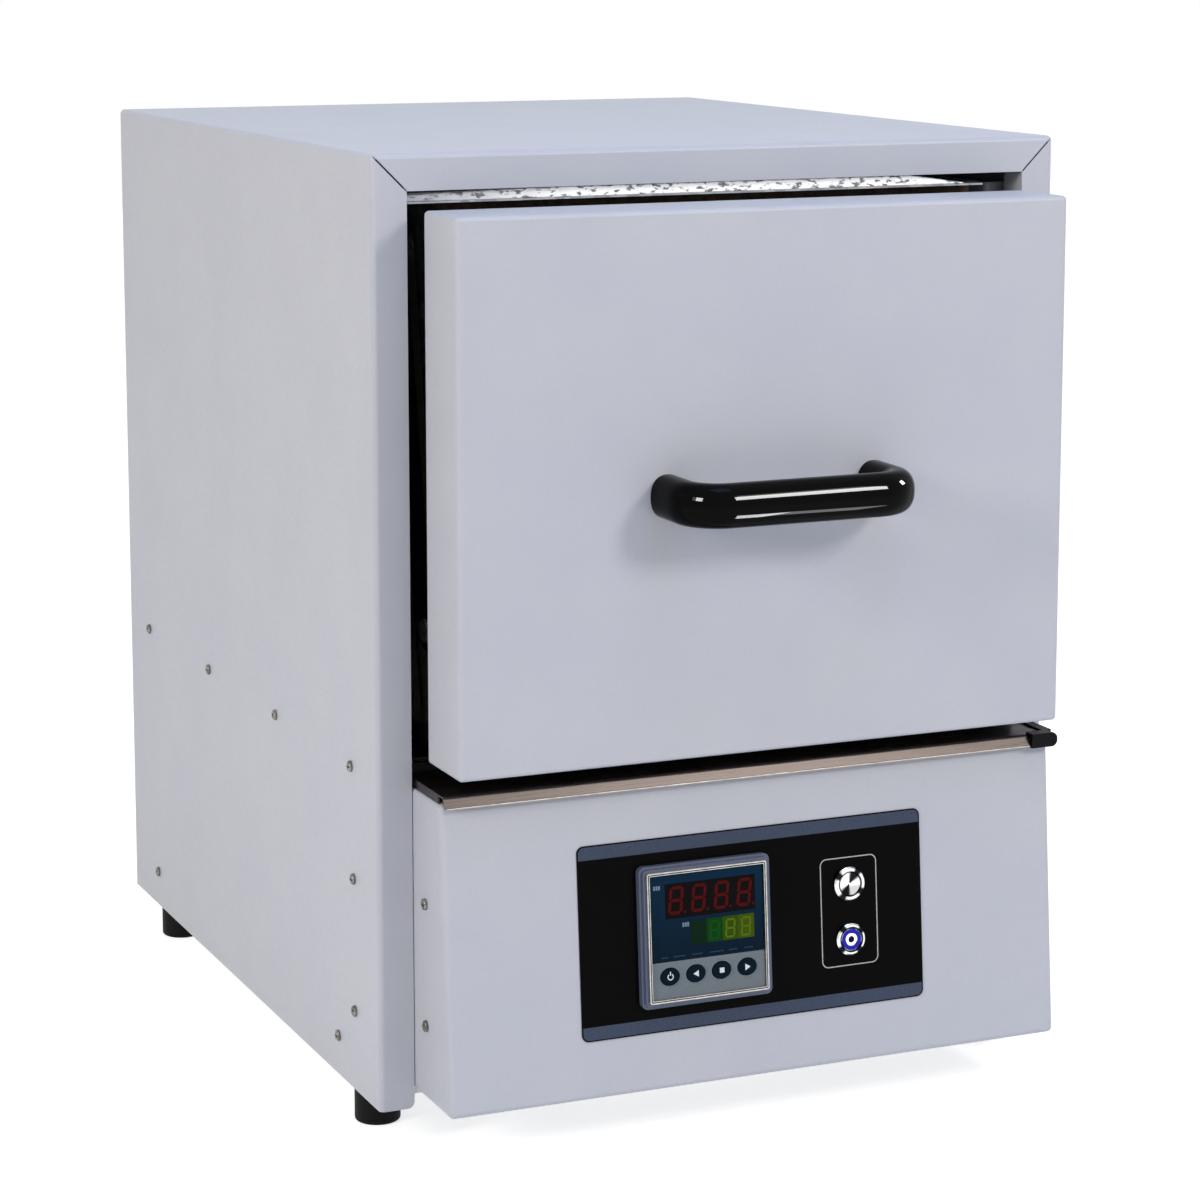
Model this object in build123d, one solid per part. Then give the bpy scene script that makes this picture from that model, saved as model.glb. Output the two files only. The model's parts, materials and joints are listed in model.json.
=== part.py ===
from build123d import *
import os
from math import atan2, cos, degrees, hypot, radians, sin

# ---------------------------------------------------------------- driving dimensions, in mm
# Every piece is drawn from the casing's own corner of reference: x = 0 is the middle, y = 0 the
# plane of the casing's front flanges (positive to the back), z = 0 the casing's bottom edge.
CASE_W = 414.0
CASE_D = 490.0
CASE_H = 525.0
SHEET = 1.5
BEND_R = 3.0
FLANGE = 20.0           # width of the three front flanges
LIP = 20.0              # depth of the return lip behind them
MITRE_GAP = 1.0
FLANGE_CORNER_R = 4.0
REAR_FLANGE = 22.0

FOOT_D = 26.0
FOOT_H = 22.0
FOOT_INSET = 16.0
FOOT_FRONT_Y = 50.0
FOOT_REAR_Y = 438.0

DOOR_W = 364.0
DOOR_BOTTOM = 197.0
DOOR_TOP = 495.5
DOOR_FRONT_Y = -59.0
DOOR_BACK_Y = -11.0
DOOR_SHEET = 1.2

CHAMBER_W = 200.0
CHAMBER_H = 150.0
CHAMBER_D = 304.0
CHAMBER_FLOOR = 268.0
INNER_W = 326.0         # galvanised inner case
INNER_FRONT_Y = 19.0
LAP_FRONT_Y = 3.0       # front edge of the inner case's top sheet
INNER_BACK_Y = 405.0
INNER_BOTTOM = 192.0
INNER_TOP = 499.0

# lift linkage: two parallel arms a side keep the door upright while it swings out and up
ARM_LENGTH = 210.0
ARM_REST_DEG = 10.0     # lean of the hanging arms, towards the front
UPPER_PIVOT = (48.0, 472.0)
PIVOT_STEP = (30.0, -52.0)
ARM_X = 170.0           # inner face of the arms
ARM_T = 4.0
ARM_R = 11.0
PIN_D = 8.0
PIN_FIT = 0.05          # radial running clearance
OPEN_PIVOT_FIT = 0.5    # radial clearance at the lower arms' door pivots

# control housing with a face that slopes forward going down
HOUSING_W = 373.0
HOUSING_BOTTOM = 10.5
HOUSING_TOP = 181.0
HOUSING_TOP_Y = -41.5
HOUSING_BOTTOM_Y = -55.0
HOUSING_BACK_Y = 18.0

OVERLAY_W = 210.5
OVERLAY_H = 108.0
OVERLAY_X = -3.8
OVERLAY_T = 0.6
PANEL_MID = 86.6        # height of all panel pieces up the sloping face
CONTROLLER_X = -35.0
BUTTON_X = 55.6
BUTTON_RISE = 15.8
BUTTON_HOLE_D = 16.2
BUTTON_TRAVEL = 1.5

HANDLE_SPAN = 124.0     # between its two screw centres
HANDLE_REACH = 50.0
HANDLE_DEEP = 20.0
HANDLE_TALL = 24.0
HANDLE_Z = 342.5

BACK_SHEET_Y = CASE_D + SHEET
GLAND_OUT = 20.5

# the part's frame: x and y at the middle of the whole furnace, z at the feet's soles
FRONT_REACH = HANDLE_REACH - DOOR_FRONT_Y
BACK_REACH = BACK_SHEET_Y + GLAND_OUT
ORIGIN = Location((0, (FRONT_REACH - BACK_REACH) / 2, FOOT_H))

HALF_OPENING = CASE_W / 2 - FLANGE
SIDE_IN = CASE_W / 2 - SHEET
OPENING_TOP = CASE_H - FLANGE
INNER_X = INNER_W / 2
MOUTH_MID = CHAMBER_FLOOR + CHAMBER_H / 2
SLOPE = atan2(HOUSING_TOP_Y - HOUSING_BOTTOM_Y, HOUSING_TOP - HOUSING_BOTTOM)
FACE = Plane(
    origin=(0, HOUSING_BOTTOM_Y, HOUSING_BOTTOM),
    x_dir=(1, 0, 0),
    z_dir=(0, -cos(SLOPE), sin(SLOPE)),
)
SIDE_VIEW = Plane(origin=(0, 0, 0), x_dir=(0, 1, 0), z_dir=(1, 0, 0))


# ---------------------------------------------------------------- helpers
def block(x0, x1, y0, y1, z0, z1):
    """Rectangular block between two corners."""
    middle = ((x0 + x1) / 2, (y0 + y1) / 2, (z0 + z1) / 2)
    return Pos(*middle) * Box(abs(x1 - x0), abs(y1 - y0), abs(z1 - z0))


def rod_x(y, z, x0, x1, radius):
    """Cylinder along x."""
    return Pos((x0 + x1) / 2, y, z) * Rot(0, 90, 0) * Cylinder(radius, abs(x1 - x0))


def rod_y(x, z, y0, y1, radius):
    """Cylinder along y."""
    return Pos(x, (y0 + y1) / 2, z) * Rot(90, 0, 0) * Cylinder(radius, abs(y1 - y0))


def other_side(shape):
    """The mirror image on the furnace's other side."""
    return mirror(shape, about=Plane.YZ)


def group(shapes):
    """Separate solids kept together as one node."""
    return Compound([solid for shape in shapes for solid in shape.solids()])


def folded_strip(points, thickness, z0, z1):
    """Sheet folded along upright lines: a centre line seen from above, given its thickness."""
    line = FilletPolyline(*points, radius=thickness)
    strip = trace(line, line_width=thickness)
    return Pos(0, 0, z0) * extrude(strip, z1 - z0)


def on_face(shape):
    """Place a shape drawn flat (x, y, out) on the sloping control face."""
    return FACE.location * shape


def face_disc(x, up, out0, out1, radius):
    """Round piece standing on the control face."""
    return on_face(Pos(x, up, (out0 + out1) / 2) * Cylinder(radius, out1 - out0))


def face_plate(x, up, width, height, corner, out0, out1):
    """Rounded rectangular piece lying on the control face."""
    outline = Pos(x, up, out0) * RectangleRounded(width, height, corner)
    return on_face(extrude(outline, out1 - out0))


def save(name, shape):
    """Write one node in the part's frame."""
    moved = ORIGIN * shape
    moved.label = name
    export_step(moved, f"parts/{name}.step")


# ---------------------------------------------------------------- casing
SHELF_SCREWS = [(43 + 134 * k, 185.5) for k in range(4)]
BRACKET_SCREWS = [(40, 122), (40, 46)]
PAN_SCREWS = [(69, 23), (435, 23)]
SIDE_SCREWS = SHELF_SCREWS + BRACKET_SCREWS + PAN_SCREWS
HOUSING_SCREWS = [(-18.5, 121.0), (-18.5, 52.5)]
SCREW_R = 1.9
SCREW_HOLE_R = 2.2
BACK_SCREW_X = CASE_W / 2 - 15
BACK_SCREWS = [(s * BACK_SCREW_X, z) for s in (-1, 1) for z in (46, 150, 262, 374, 505)]
EXHAUST = (-60.0, 398.0)
EXHAUST_R = 10.0
THERMOCOUPLE = (0.0, 385.0)
GLAND = (150.0, 60.0)


def outer_casing():
    """Wrap-round sheet: both sides and the top, with mitred flanges and return lips in front."""
    skin = block(-CASE_W / 2, CASE_W / 2, 0, CASE_D, 0, CASE_H)
    bends = skin.edges().filter_by(Axis.Y).group_by(Axis.Z)[-1]
    bends += [e for e in skin.edges().group_by(Axis.Y)[0] if e.center().Z > 1]
    skin = fillet(bends, BEND_R)
    hollow = block(-SIDE_IN, SIDE_IN, SHEET, CASE_D - SHEET, -1, CASE_H - SHEET)
    bends = hollow.edges().filter_by(Axis.Y).group_by(Axis.Z)[-1]
    bends += [e for e in hollow.edges().group_by(Axis.Y)[0] if e.center().Z > 1]
    casing = skin - fillet(bends, BEND_R - SHEET)
    casing += lips()
    casing -= block(-HALF_OPENING, HALF_OPENING, -1, LIP + 1, -1, OPENING_TOP)
    for side in (-1, 1):
        casing -= flange_corner(side)
        casing -= mitre(side)
    rear_x = CASE_W / 2 - REAR_FLANGE
    casing -= block(-rear_x, rear_x, CASE_D - 5, CASE_D + 1, -1, CASE_H - REAR_FLANGE)
    for y, z in SIDE_SCREWS:
        casing -= rod_x(y, z, -CASE_W / 2 - 1, CASE_W / 2 + 1, SCREW_HOLE_R)
    for x, z in BACK_SCREWS:
        casing -= rod_y(x, z, CASE_D - 5, CASE_D + 1, SCREW_HOLE_R)
    return casing


def lips():
    """Return lips folded back from the inner edges of the three front flanges."""
    outer_x = HALF_OPENING + SHEET
    frame = block(-outer_x, outer_x, 0.5, LIP, 6, OPENING_TOP + SHEET)
    return frame - block(-HALF_OPENING, HALF_OPENING, 0, LIP + 1, -1, OPENING_TOP)


def flange_corner(side):
    """What is cut from a side flange's lower inner corner to round it."""
    x = side * (HALF_OPENING + FLANGE_CORNER_R)
    corner = block(side * (HALF_OPENING - 1), x, -1, SHEET + 0.01, -1, FLANGE_CORNER_R)
    return corner - rod_y(x, FLANGE_CORNER_R, -2, SHEET + 1, FLANGE_CORNER_R)


def mitre(side):
    """Diagonal slit where a side flange meets the top flange."""
    slit = Box(FLANGE * 1.4, 2 * SHEET, MITRE_GAP)
    return Pos(side * (CASE_W - FLANGE) / 2, 0, CASE_H - FLANGE / 2) * Rot(0, -45 * side, 0) * slit


def base_pan():
    """Floor of the casing: a shallow pan with upright sides, vent slots and foot bolts' holes."""
    side = SIDE_IN - 0.1
    front, back, height = 22.0, CASE_D - SHEET - 0.1, 34.0
    pan = block(-side, side, front, back, 0, height)
    pan -= block(-side + SHEET, side - SHEET, front + SHEET, back - SHEET, SHEET, height + 1)
    for column in range(-2, 3):
        for row in range(8):
            slot = SlotOverall(46, 5)
            pan -= Pos(column * 60, 150 + row * 14, -1) * extrude(slot, 4)
    for y, z in PAN_SCREWS:
        pan -= rod_x(y, z, -side - 1, side + 1, SCREW_HOLE_R)
    return pan


def control_brackets():
    """Folded uprights that carry the control housing from the casing's sides."""
    wall = SIDE_IN - 0.1 - SHEET / 2
    ear = HOUSING_W / 2 - SHEET - 0.1 - SHEET / 2
    right = folded_strip([(wall, 26), (wall, 52), (ear, 52), (ear, -30)], SHEET, 36, 140)
    for y, z in HOUSING_SCREWS + BRACKET_SCREWS:
        right -= rod_x(y, z, ear - 5, SIDE_IN + 1, SCREW_HOLE_R)
    return group([right, other_side(right)])


def partition_plate():
    """Shelf between the electrics and the hot part, with folded sides and air slots."""
    side, top, skirt = SIDE_IN - 0.1, INNER_BOTTOM, 14.0
    front, back = 22.0, CASE_D - SHEET - 0.1
    shelf = block(-side, side, front, back, top - skirt, top)
    shelf -= block(-side + SHEET, side - SHEET, front - 1, back + 1, top - skirt - 1, top - SHEET)
    for x in (-187, 187):
        for row in range(5):
            slot = Rot(0, 0, 90) * SlotOverall(44, 8)
            shelf -= Pos(x, 165 + row * 62, top - 3) * extrude(slot, 4)
    for y, z in SHELF_SCREWS:
        shelf -= rod_x(y, z, -side - 1, side + 1, SCREW_HOLE_R)
    return shelf


def back_panel():
    """Screwed-on rear sheet with two fields of louvre slots and its two outlets."""
    margin = 8.0
    half = CASE_W / 2 - margin
    panel = block(-half, half, CASE_D, BACK_SHEET_Y, 4, CASE_H - margin)
    slot = extrude(Plane.XZ.location * SlotOverall(78, 5), 4, dir=(0, 1, 0))
    for low in (56, 436):
        for row in range(5):
            for column in (-1, 0, 1):
                panel -= Pos(column * 92, CASE_D - 1, low + row * 13) * slot
    panel -= rod_y(*EXHAUST, CASE_D - 1, BACK_SHEET_Y + 1, EXHAUST_R + 1)
    panel -= rod_y(*GLAND, CASE_D - 1, BACK_SHEET_Y + 1, 10)
    for x, z in BACK_SCREWS:
        panel -= rod_y(x, z, CASE_D - 1, BACK_SHEET_Y + 1, SCREW_HOLE_R)
    return panel


def round_head(radius, height):
    """Pan head with a domed top, standing on z = 0."""
    head = Cylinder(radius, height, align=(Align.CENTER, Align.CENTER, Align.MIN))
    return fillet(head.edges().group_by(Axis.Z)[-1], height * 0.6)


def side_screws():
    """Pan-head screws of the right-hand side: casing screws and control housing screws."""
    screws = []
    places = [(CASE_W / 2, y, z) for y, z in SIDE_SCREWS]
    places += [(HOUSING_W / 2, y, z) for y, z in HOUSING_SCREWS]
    for x, y, z in places:
        screw = round_head(3.2, 2.0) + Cylinder(SCREW_R, 7, align=(Align.CENTER, Align.CENTER, Align.MAX))
        screws.append(Pos(x, y, z) * Rot(0, 90, 0) * screw)
    return group(screws)


def back_screws():
    """Pan-head screws that hold the back panel."""
    screw = round_head(3.2, 2.0) + Cylinder(SCREW_R, 6, align=(Align.CENTER, Align.CENTER, Align.MAX))
    return group([Pos(x, BACK_SHEET_Y, z) * Rot(-90, 0, 0) * screw for x, z in BACK_SCREWS])


def rubber_feet():
    """Four rubber feet with rounded soles."""
    foot = Cylinder(FOOT_D / 2, FOOT_H, align=(Align.CENTER, Align.CENTER, Align.MAX))
    foot = fillet(foot.edges().group_by(Axis.Z)[0], 2.0)
    x = CASE_W / 2 - FOOT_INSET
    return group([Pos(s * x, y, 0) * foot for s in (-1, 1) for y in (FOOT_FRONT_Y, FOOT_REAR_Y)])


# ---------------------------------------------------------------- hot part
def inner_case():
    """Galvanised box round the insulation, open in front; its top sheet laps over the left arms."""
    sheet = 1.0
    box = block(-INNER_X, INNER_X, INNER_FRONT_Y + 1, INNER_BACK_Y, INNER_BOTTOM, INNER_TOP)
    box -= block(
        -INNER_X + sheet, INNER_X - sheet, INNER_FRONT_Y, INNER_BACK_Y - sheet,
        INNER_BOTTOM + sheet, INNER_TOP - sheet,
    )
    box -= rod_y(*EXHAUST, INNER_BACK_Y - 3, INNER_BACK_Y + 1, EXHAUST_R + 1)
    box -= rod_y(*THERMOCOUPLE, INNER_BACK_Y - 3, INNER_BACK_Y + 1, 5)
    lap_left = -CASE_W / 2 + FLANGE + 1
    return box + block(lap_left, INNER_X, LAP_FRONT_Y, INNER_BACK_Y, INNER_TOP - sheet, INNER_TOP)


def front_collar():
    """Stainless face plate with the mouth of the chamber cut out."""
    plate = block(-INNER_X, INNER_X, INNER_FRONT_Y, INNER_FRONT_Y + 1, INNER_BOTTOM, INNER_TOP - 1)
    half_w, half_h = CHAMBER_W / 2 + 5, CHAMBER_H / 2 + 5
    mouth = block(-half_w, half_w, 0, 40, MOUTH_MID - half_h, MOUTH_MID + half_h)
    return plate - fillet(mouth.edges().filter_by(Axis.Y), 6)


BOARD_X = INNER_X - 1
BOARD_FRONT = INNER_FRONT_Y + 1
BOARD_BACK = INNER_BACK_Y - 1
CHAMBER_BACK = BOARD_FRONT + CHAMBER_D
HEARTH_T = 12.0
FLOOR_TOP = CHAMBER_FLOOR - HEARTH_T
ROOF_BOTTOM = CHAMBER_FLOOR + CHAMBER_H
PLATE_T = 12.0
PLATE_FRONT = BOARD_FRONT + 22.0
PLATE_BACK = CHAMBER_BACK - 6.0
COIL_R = 5.0
COIL_LEVELS = [CHAMBER_FLOOR + 15 + 30 * k for k in range(5)]
COIL_X = CHAMBER_W / 2 + COIL_R + 0.5


def insulation_floor():
    """Fibre board under the chamber."""
    return block(-BOARD_X, BOARD_X, BOARD_FRONT, BOARD_BACK, INNER_BOTTOM + 1, FLOOR_TOP)


def insulation_roof():
    """Fibre board over the chamber."""
    return block(-BOARD_X, BOARD_X, BOARD_FRONT, BOARD_BACK, ROOF_BOTTOM, INNER_TOP - 1)


def insulation_side():
    """Right fibre board, with the recess that holds the heater plate."""
    half = CHAMBER_W / 2
    board = block(half, BOARD_X, BOARD_FRONT, CHAMBER_BACK, FLOOR_TOP, ROOF_BOTTOM)
    return board - block(half - 1, half + PLATE_T, PLATE_FRONT, PLATE_BACK, FLOOR_TOP - 1, ROOF_BOTTOM + 1)


def insulation_rear():
    """Rear fibre board, bored for the thermocouple and the exhaust tube."""
    board = block(-BOARD_X, BOARD_X, CHAMBER_BACK, BOARD_BACK, FLOOR_TOP, ROOF_BOTTOM)
    board -= rod_y(*EXHAUST, CHAMBER_BACK - 1, BOARD_BACK + 1, EXHAUST_R)
    return board - rod_y(*THERMOCOUPLE, CHAMBER_BACK - 1, BOARD_BACK + 1, 4.0)


def heater_plate():
    """Right moulded ceramic plate with five open grooves for the coils."""
    half = CHAMBER_W / 2
    plate = block(half, half + PLATE_T, PLATE_FRONT, PLATE_BACK, FLOOR_TOP, ROOF_BOTTOM)
    for z in COIL_LEVELS:
        plate -= rod_y(COIL_X, z, PLATE_FRONT + 8, PLATE_BACK - 8, COIL_R)
        plate -= block(half - 1, COIL_X, PLATE_FRONT + 8, PLATE_BACK - 8, z - COIL_R, z + COIL_R)
    return plate


def heater_coils():
    """Wound heating wire, drawn at its coil diameter: five coils a side."""
    coils = [rod_y(s * COIL_X, z, PLATE_FRONT + 8, PLATE_BACK - 8, COIL_R)
             for s in (-1, 1) for z in COIL_LEVELS]
    return group(coils)


def hearth_plate():
    """Loose floor slab on which the charge stands."""
    slab = block(-CHAMBER_W / 2, CHAMBER_W / 2, BOARD_FRONT + 4, CHAMBER_BACK, FLOOR_TOP, CHAMBER_FLOOR)
    return chamfer(slab.edges().group_by(Axis.Z)[-1], 1.5)


def thermocouple():
    """Ceramic sheath through the rear wall with its terminal head behind the inner case."""
    sheath = rod_y(*THERMOCOUPLE, CHAMBER_BACK - 30, INNER_BACK_Y + 8, 4.0)
    tip = Pos(THERMOCOUPLE[0], CHAMBER_BACK - 30, THERMOCOUPLE[1]) * Sphere(4.0)
    head = rod_y(*THERMOCOUPLE, INNER_BACK_Y + 8, INNER_BACK_Y + 34, 13)
    head = fillet(head.edges().filter_by(GeomType.CIRCLE), 2)
    return sheath + tip + head


def exhaust_tube():
    """Ceramic tube from the chamber out through the back panel, with a collar outside."""
    tube = rod_y(*EXHAUST, CHAMBER_BACK, BACK_SHEET_Y + 16, EXHAUST_R)
    tube += rod_y(*EXHAUST, BACK_SHEET_Y, BACK_SHEET_Y + 3, EXHAUST_R + 8)
    return tube - rod_y(*EXHAUST, CHAMBER_BACK - 1, BACK_SHEET_Y + 20, EXHAUST_R - 3.5)


# ---------------------------------------------------------------- lift linkage
def pivot(arm, end):
    """Place (y, z) of a pivot: arm 0 is the upper, 1 the lower; end 0 the case's, 1 the door's."""
    lean = radians(ARM_REST_DEG)
    y = UPPER_PIVOT[0] + arm * PIVOT_STEP[0] - end * ARM_LENGTH * sin(lean)
    z = UPPER_PIVOT[1] + arm * PIVOT_STEP[1] - end * ARM_LENGTH * cos(lean)
    return y, z


def lift_arm(arm):
    """Flat steel bar with rounded, bored ends, on the right-hand side."""
    (y0, z0), (y1, z1) = pivot(arm, 0), pivot(arm, 1)
    tilt = degrees(atan2(z1 - z0, y1 - y0))
    outline = Rot(0, 0, tilt) * SlotCenterToCenter(hypot(y1 - y0, z1 - z0), 2 * ARM_R)
    bar = Pos(ARM_X, (y0 + y1) / 2, (z0 + z1) / 2) * extrude(SIDE_VIEW.location * outline, ARM_T)
    bore = PIN_D / 2 + PIN_FIT
    bar -= rod_x(y0, z0, ARM_X - 1, ARM_X + ARM_T + 1, bore)
    door_bore = bore if arm == 0 else PIN_D / 2 + OPEN_PIVOT_FIT
    return bar - rod_x(y1, z1, ARM_X - 1, ARM_X + ARM_T + 1, door_bore)


BRACKET_X = 181.0
BRACKET_T = 2.0
BRACKET_Z = (394, 497)


def lift_bracket():
    """Folded bracket on the inner case's right side that carries both case pivots."""
    wall = INNER_X + BRACKET_T / 2
    front, step, back = 31, 124, 156
    path = [(BRACKET_X + 12, front), (BRACKET_X, front), (BRACKET_X, step), (wall, step), (wall, back)]
    bracket = folded_strip(path, BRACKET_T, *BRACKET_Z)
    for arm in (0, 1):
        bracket -= rod_x(*pivot(arm, 0), BRACKET_X - 3, BRACKET_X + 3, PIN_D / 2)
    return bracket


def case_pivot_pins():
    """Shouldered pins with friction collars, riveted in the lift brackets."""
    web_in, web_out = BRACKET_X - BRACKET_T / 2, BRACKET_X + BRACKET_T / 2
    pins = []
    for arm in (0, 1):
        at = pivot(arm, 0)
        pin = rod_x(*at, ARM_X - 1.6, web_out + 0.5, PIN_D / 2)
        pin += rod_x(*at, ARM_X + ARM_T + 0.3, web_in, 8)
        pin += rod_x(*at, web_out, web_out + 2.5, 8)
        pin += rod_x(*at, ARM_X - 1.6, ARM_X - 0.3, 7)
        pins += [pin, other_side(pin)]
    return group(pins)


DOOR_BRACKET_X = (166.0, 169.0)
DOOR_SKIN_Y = DOOR_BACK_Y + 1.0


def door_bracket():
    """Angle plate on the door's back, right-hand side, that reaches the two door pivots."""
    inner, outer = DOOR_BRACKET_X
    low, high = 202.0, 330.0
    foot = Pos(DOOR_SKIN_Y + 1, (low + high) / 2) * Rectangle(2, high - low)
    lobes = [Pos(*pivot(arm, 1)) * Circle(12) for arm in (0, 1)]
    outline = make_hull(foot.edges() + lobes[0].edges() + lobes[1].edges())
    plate = Pos(inner, 0, 0) * extrude(SIDE_VIEW.location * outline, outer - inner)
    plate += block(inner - 20, outer, DOOR_SKIN_Y, DOOR_SKIN_Y + 2, low, high)
    for arm in (0, 1):
        plate -= rod_x(*pivot(arm, 1), inner - 1, outer + 1, PIN_D / 2)
    return plate


def door_pivot_pins():
    """Pins riveted flush in the door brackets, with a collar and a clip each side of the arm."""
    inner, outer = DOOR_BRACKET_X
    pins = []
    for arm in (0, 1):
        at = pivot(arm, 1)
        pin = rod_x(*at, inner, ARM_X + ARM_T + 1.6, PIN_D / 2)
        pin += rod_x(*at, outer, ARM_X - 0.3, 7)
        pin += rod_x(*at, ARM_X + ARM_T + 0.3, ARM_X + ARM_T + 1.6, 6.5)
        pins += [pin, other_side(pin)]
    return group(pins)


# ---------------------------------------------------------------- door
def door_pan():
    """Deep folded pan with rounded edges, open behind inside a narrow return flange."""
    half, margin, bend = DOOR_W / 2, 12.0, 2.5
    pan = block(-half, half, DOOR_FRONT_Y, DOOR_BACK_Y, DOOR_BOTTOM, DOOR_TOP)
    pan = fillet(pan.edges(), bend)
    half -= DOOR_SHEET
    hollow = block(
        -half, half, DOOR_FRONT_Y + DOOR_SHEET, DOOR_BACK_Y - DOOR_SHEET,
        DOOR_BOTTOM + DOOR_SHEET, DOOR_TOP - DOOR_SHEET,
    )
    pan -= fillet(hollow.edges(), bend - DOOR_SHEET)
    half -= margin
    pan -= block(-half, half, DOOR_BACK_Y - 5, DOOR_BACK_Y + 1, DOOR_BOTTOM + margin, DOOR_TOP - margin)
    for x in (-HANDLE_SPAN / 2, HANDLE_SPAN / 2):
        pan -= rod_y(x, HANDLE_Z, DOOR_FRONT_Y - 1, DOOR_FRONT_Y + 3, 2.7)
    return pan


def door_back_plate():
    """Stainless sheet over the back of the door pan."""
    half = DOOR_W / 2 - 4
    plate = block(-half, half, DOOR_BACK_Y, DOOR_SKIN_Y, DOOR_BOTTOM + 4, DOOR_TOP - 4)
    return fillet(plate.edges().filter_by(Axis.Y), 2.5)


def door_insulation():
    """Fibre filling of the door pan, recessed for the handle's screw heads."""
    half = DOOR_W / 2 - DOOR_SHEET - 1
    filling = block(
        -half, half, DOOR_FRONT_Y + DOOR_SHEET, DOOR_BACK_Y - DOOR_SHEET,
        DOOR_BOTTOM + DOOR_SHEET + 1, DOOR_TOP - DOOR_SHEET - 1,
    )
    filling = chamfer(filling.edges(), 1)
    for x in (-HANDLE_SPAN / 2, HANDLE_SPAN / 2):
        filling -= rod_y(x, HANDLE_Z, DOOR_FRONT_Y, DOOR_FRONT_Y + 6, 6)
    return filling


def door_plug():
    """Fibre block on the door's back: a broad step that faces the collar and a tapered nose."""
    base = block(-145, 145, DOOR_SKIN_Y, INNER_FRONT_Y - 0.5, MOUTH_MID - 115, MOUTH_MID + 115)
    base = chamfer(base.edges().group_by(Axis.Y)[-1], 6)
    nose_w, nose_h, nose_d = CHAMBER_W - 10, CHAMBER_H - 10, 11.5
    root = Plane(origin=(0, INNER_FRONT_Y - 0.5, MOUTH_MID), x_dir=(1, 0, 0), z_dir=(0, 1, 0))
    nose = extrude(root.location * RectangleRounded(nose_w, nose_h, 5), nose_d, taper=8)
    return base + nose


def handle():
    """Moulded bow handle: a rounded section carried from foot to foot round two quarter bends."""
    half, bend = HANDLE_SPAN / 2, 18.0
    grip_y = DOOR_FRONT_Y - HANDLE_REACH + HANDLE_DEEP / 2
    corners = [(-half, DOOR_FRONT_Y), (-half, grip_y), (half, grip_y), (half, DOOR_FRONT_Y)]
    path = Pos(0, 0, HANDLE_Z) * FilletPolyline(*corners, radius=bend)
    start = Plane(origin=(-half, DOOR_FRONT_Y, HANDLE_Z), x_dir=(1, 0, 0), z_dir=(0, -1, 0))
    bow = sweep(start.location * RectangleRounded(HANDLE_DEEP, HANDLE_TALL, 8.5), path)
    for x in (-half, half):
        bow -= rod_y(x, HANDLE_Z, DOOR_FRONT_Y - 12, DOOR_FRONT_Y + 1, 2.5)
    return bow


def handle_screws():
    """Screws from inside the door pan into the handle's feet."""
    screws = []
    for x in (-HANDLE_SPAN / 2, HANDLE_SPAN / 2):
        screw = rod_y(x, HANDLE_Z, DOOR_FRONT_Y - 11, DOOR_FRONT_Y + DOOR_SHEET, 2.5)
        screw += rod_y(x, HANDLE_Z, DOOR_FRONT_Y + DOOR_SHEET, DOOR_FRONT_Y + DOOR_SHEET + 3.2, 4.5)
        screws.append(screw)
    return group(screws)


SWITCH_X = -135.0
SWITCH_Z = 478.0


def door_switch():
    """Contactless door switch on the collar, above the mouth."""
    body = block(
        SWITCH_X - 16, SWITCH_X + 16, INNER_FRONT_Y - 9, INNER_FRONT_Y, SWITCH_Z - 7, SWITCH_Z + 7,
    )
    return fillet(body.edges().filter_by(Axis.Y), 2)


def door_magnet():
    """Magnet on the door's back that the switch senses."""
    body = block(SWITCH_X - 12, SWITCH_X + 12, DOOR_SKIN_Y, DOOR_SKIN_Y + 7, SWITCH_Z - 6, SWITCH_Z + 6)
    return fillet(body.edges().filter_by(Axis.Y), 2)


# ---------------------------------------------------------------- control housing and its panel
CUT_OUT = 68.4


def control_housing():
    """Folded box whose face slopes; open behind, cut out for the controller and the buttons."""
    profile = Polyline(
        (HOUSING_BACK_Y, HOUSING_BOTTOM), (HOUSING_BOTTOM_Y, HOUSING_BOTTOM),
        (HOUSING_TOP_Y, HOUSING_TOP), (HOUSING_BACK_Y, HOUSING_TOP), close=True,
    )
    section = SIDE_VIEW.location * make_face(profile)
    box = extrude(section, HOUSING_W / 2, both=True)
    folds = [edge for edge in box.edges() if edge.center().Y < HOUSING_BACK_Y - 0.1]
    box = fillet(folds, BEND_R)
    rear = box.faces().sort_by(Axis.Y)[-1]
    box = offset(box, amount=-SHEET, openings=rear)
    box -= face_plate(CONTROLLER_X, PANEL_MID, CUT_OUT, CUT_OUT, 1, -6, 3)
    for sign in (-1, 1):
        box -= face_disc(BUTTON_X, PANEL_MID + sign * BUTTON_RISE, -6, 3, BUTTON_HOLE_D / 2)
    for y, z in HOUSING_SCREWS:
        box -= rod_x(y, z, -HOUSING_W / 2 - 1, HOUSING_W / 2 + 1, SCREW_HOLE_R)
    return box


def panel_overlay():
    """Film panel on the sloping face, with openings for the controller and the buttons."""
    film = face_plate(OVERLAY_X, PANEL_MID, OVERLAY_W, OVERLAY_H, 4, 0, OVERLAY_T)
    film -= face_plate(CONTROLLER_X, PANEL_MID, CUT_OUT, CUT_OUT, 1, -1, 3)
    for sign in (-1, 1):
        film -= face_disc(BUTTON_X, PANEL_MID + sign * BUTTON_RISE, -1, 3, BUTTON_HOLE_D / 2)
    return film


CASE_SIZE = 67.8        # controller case behind the panel
CASE_FRONT = 5.2
BEZEL = 79.0
TRIM = 72.4
KEY_PITCH = 15.6
KEY_UP = PANEL_MID - 36 + 13.8
KEY_SIZE = (5.6, 4.7)
KEY_GAP = 0.35


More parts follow.
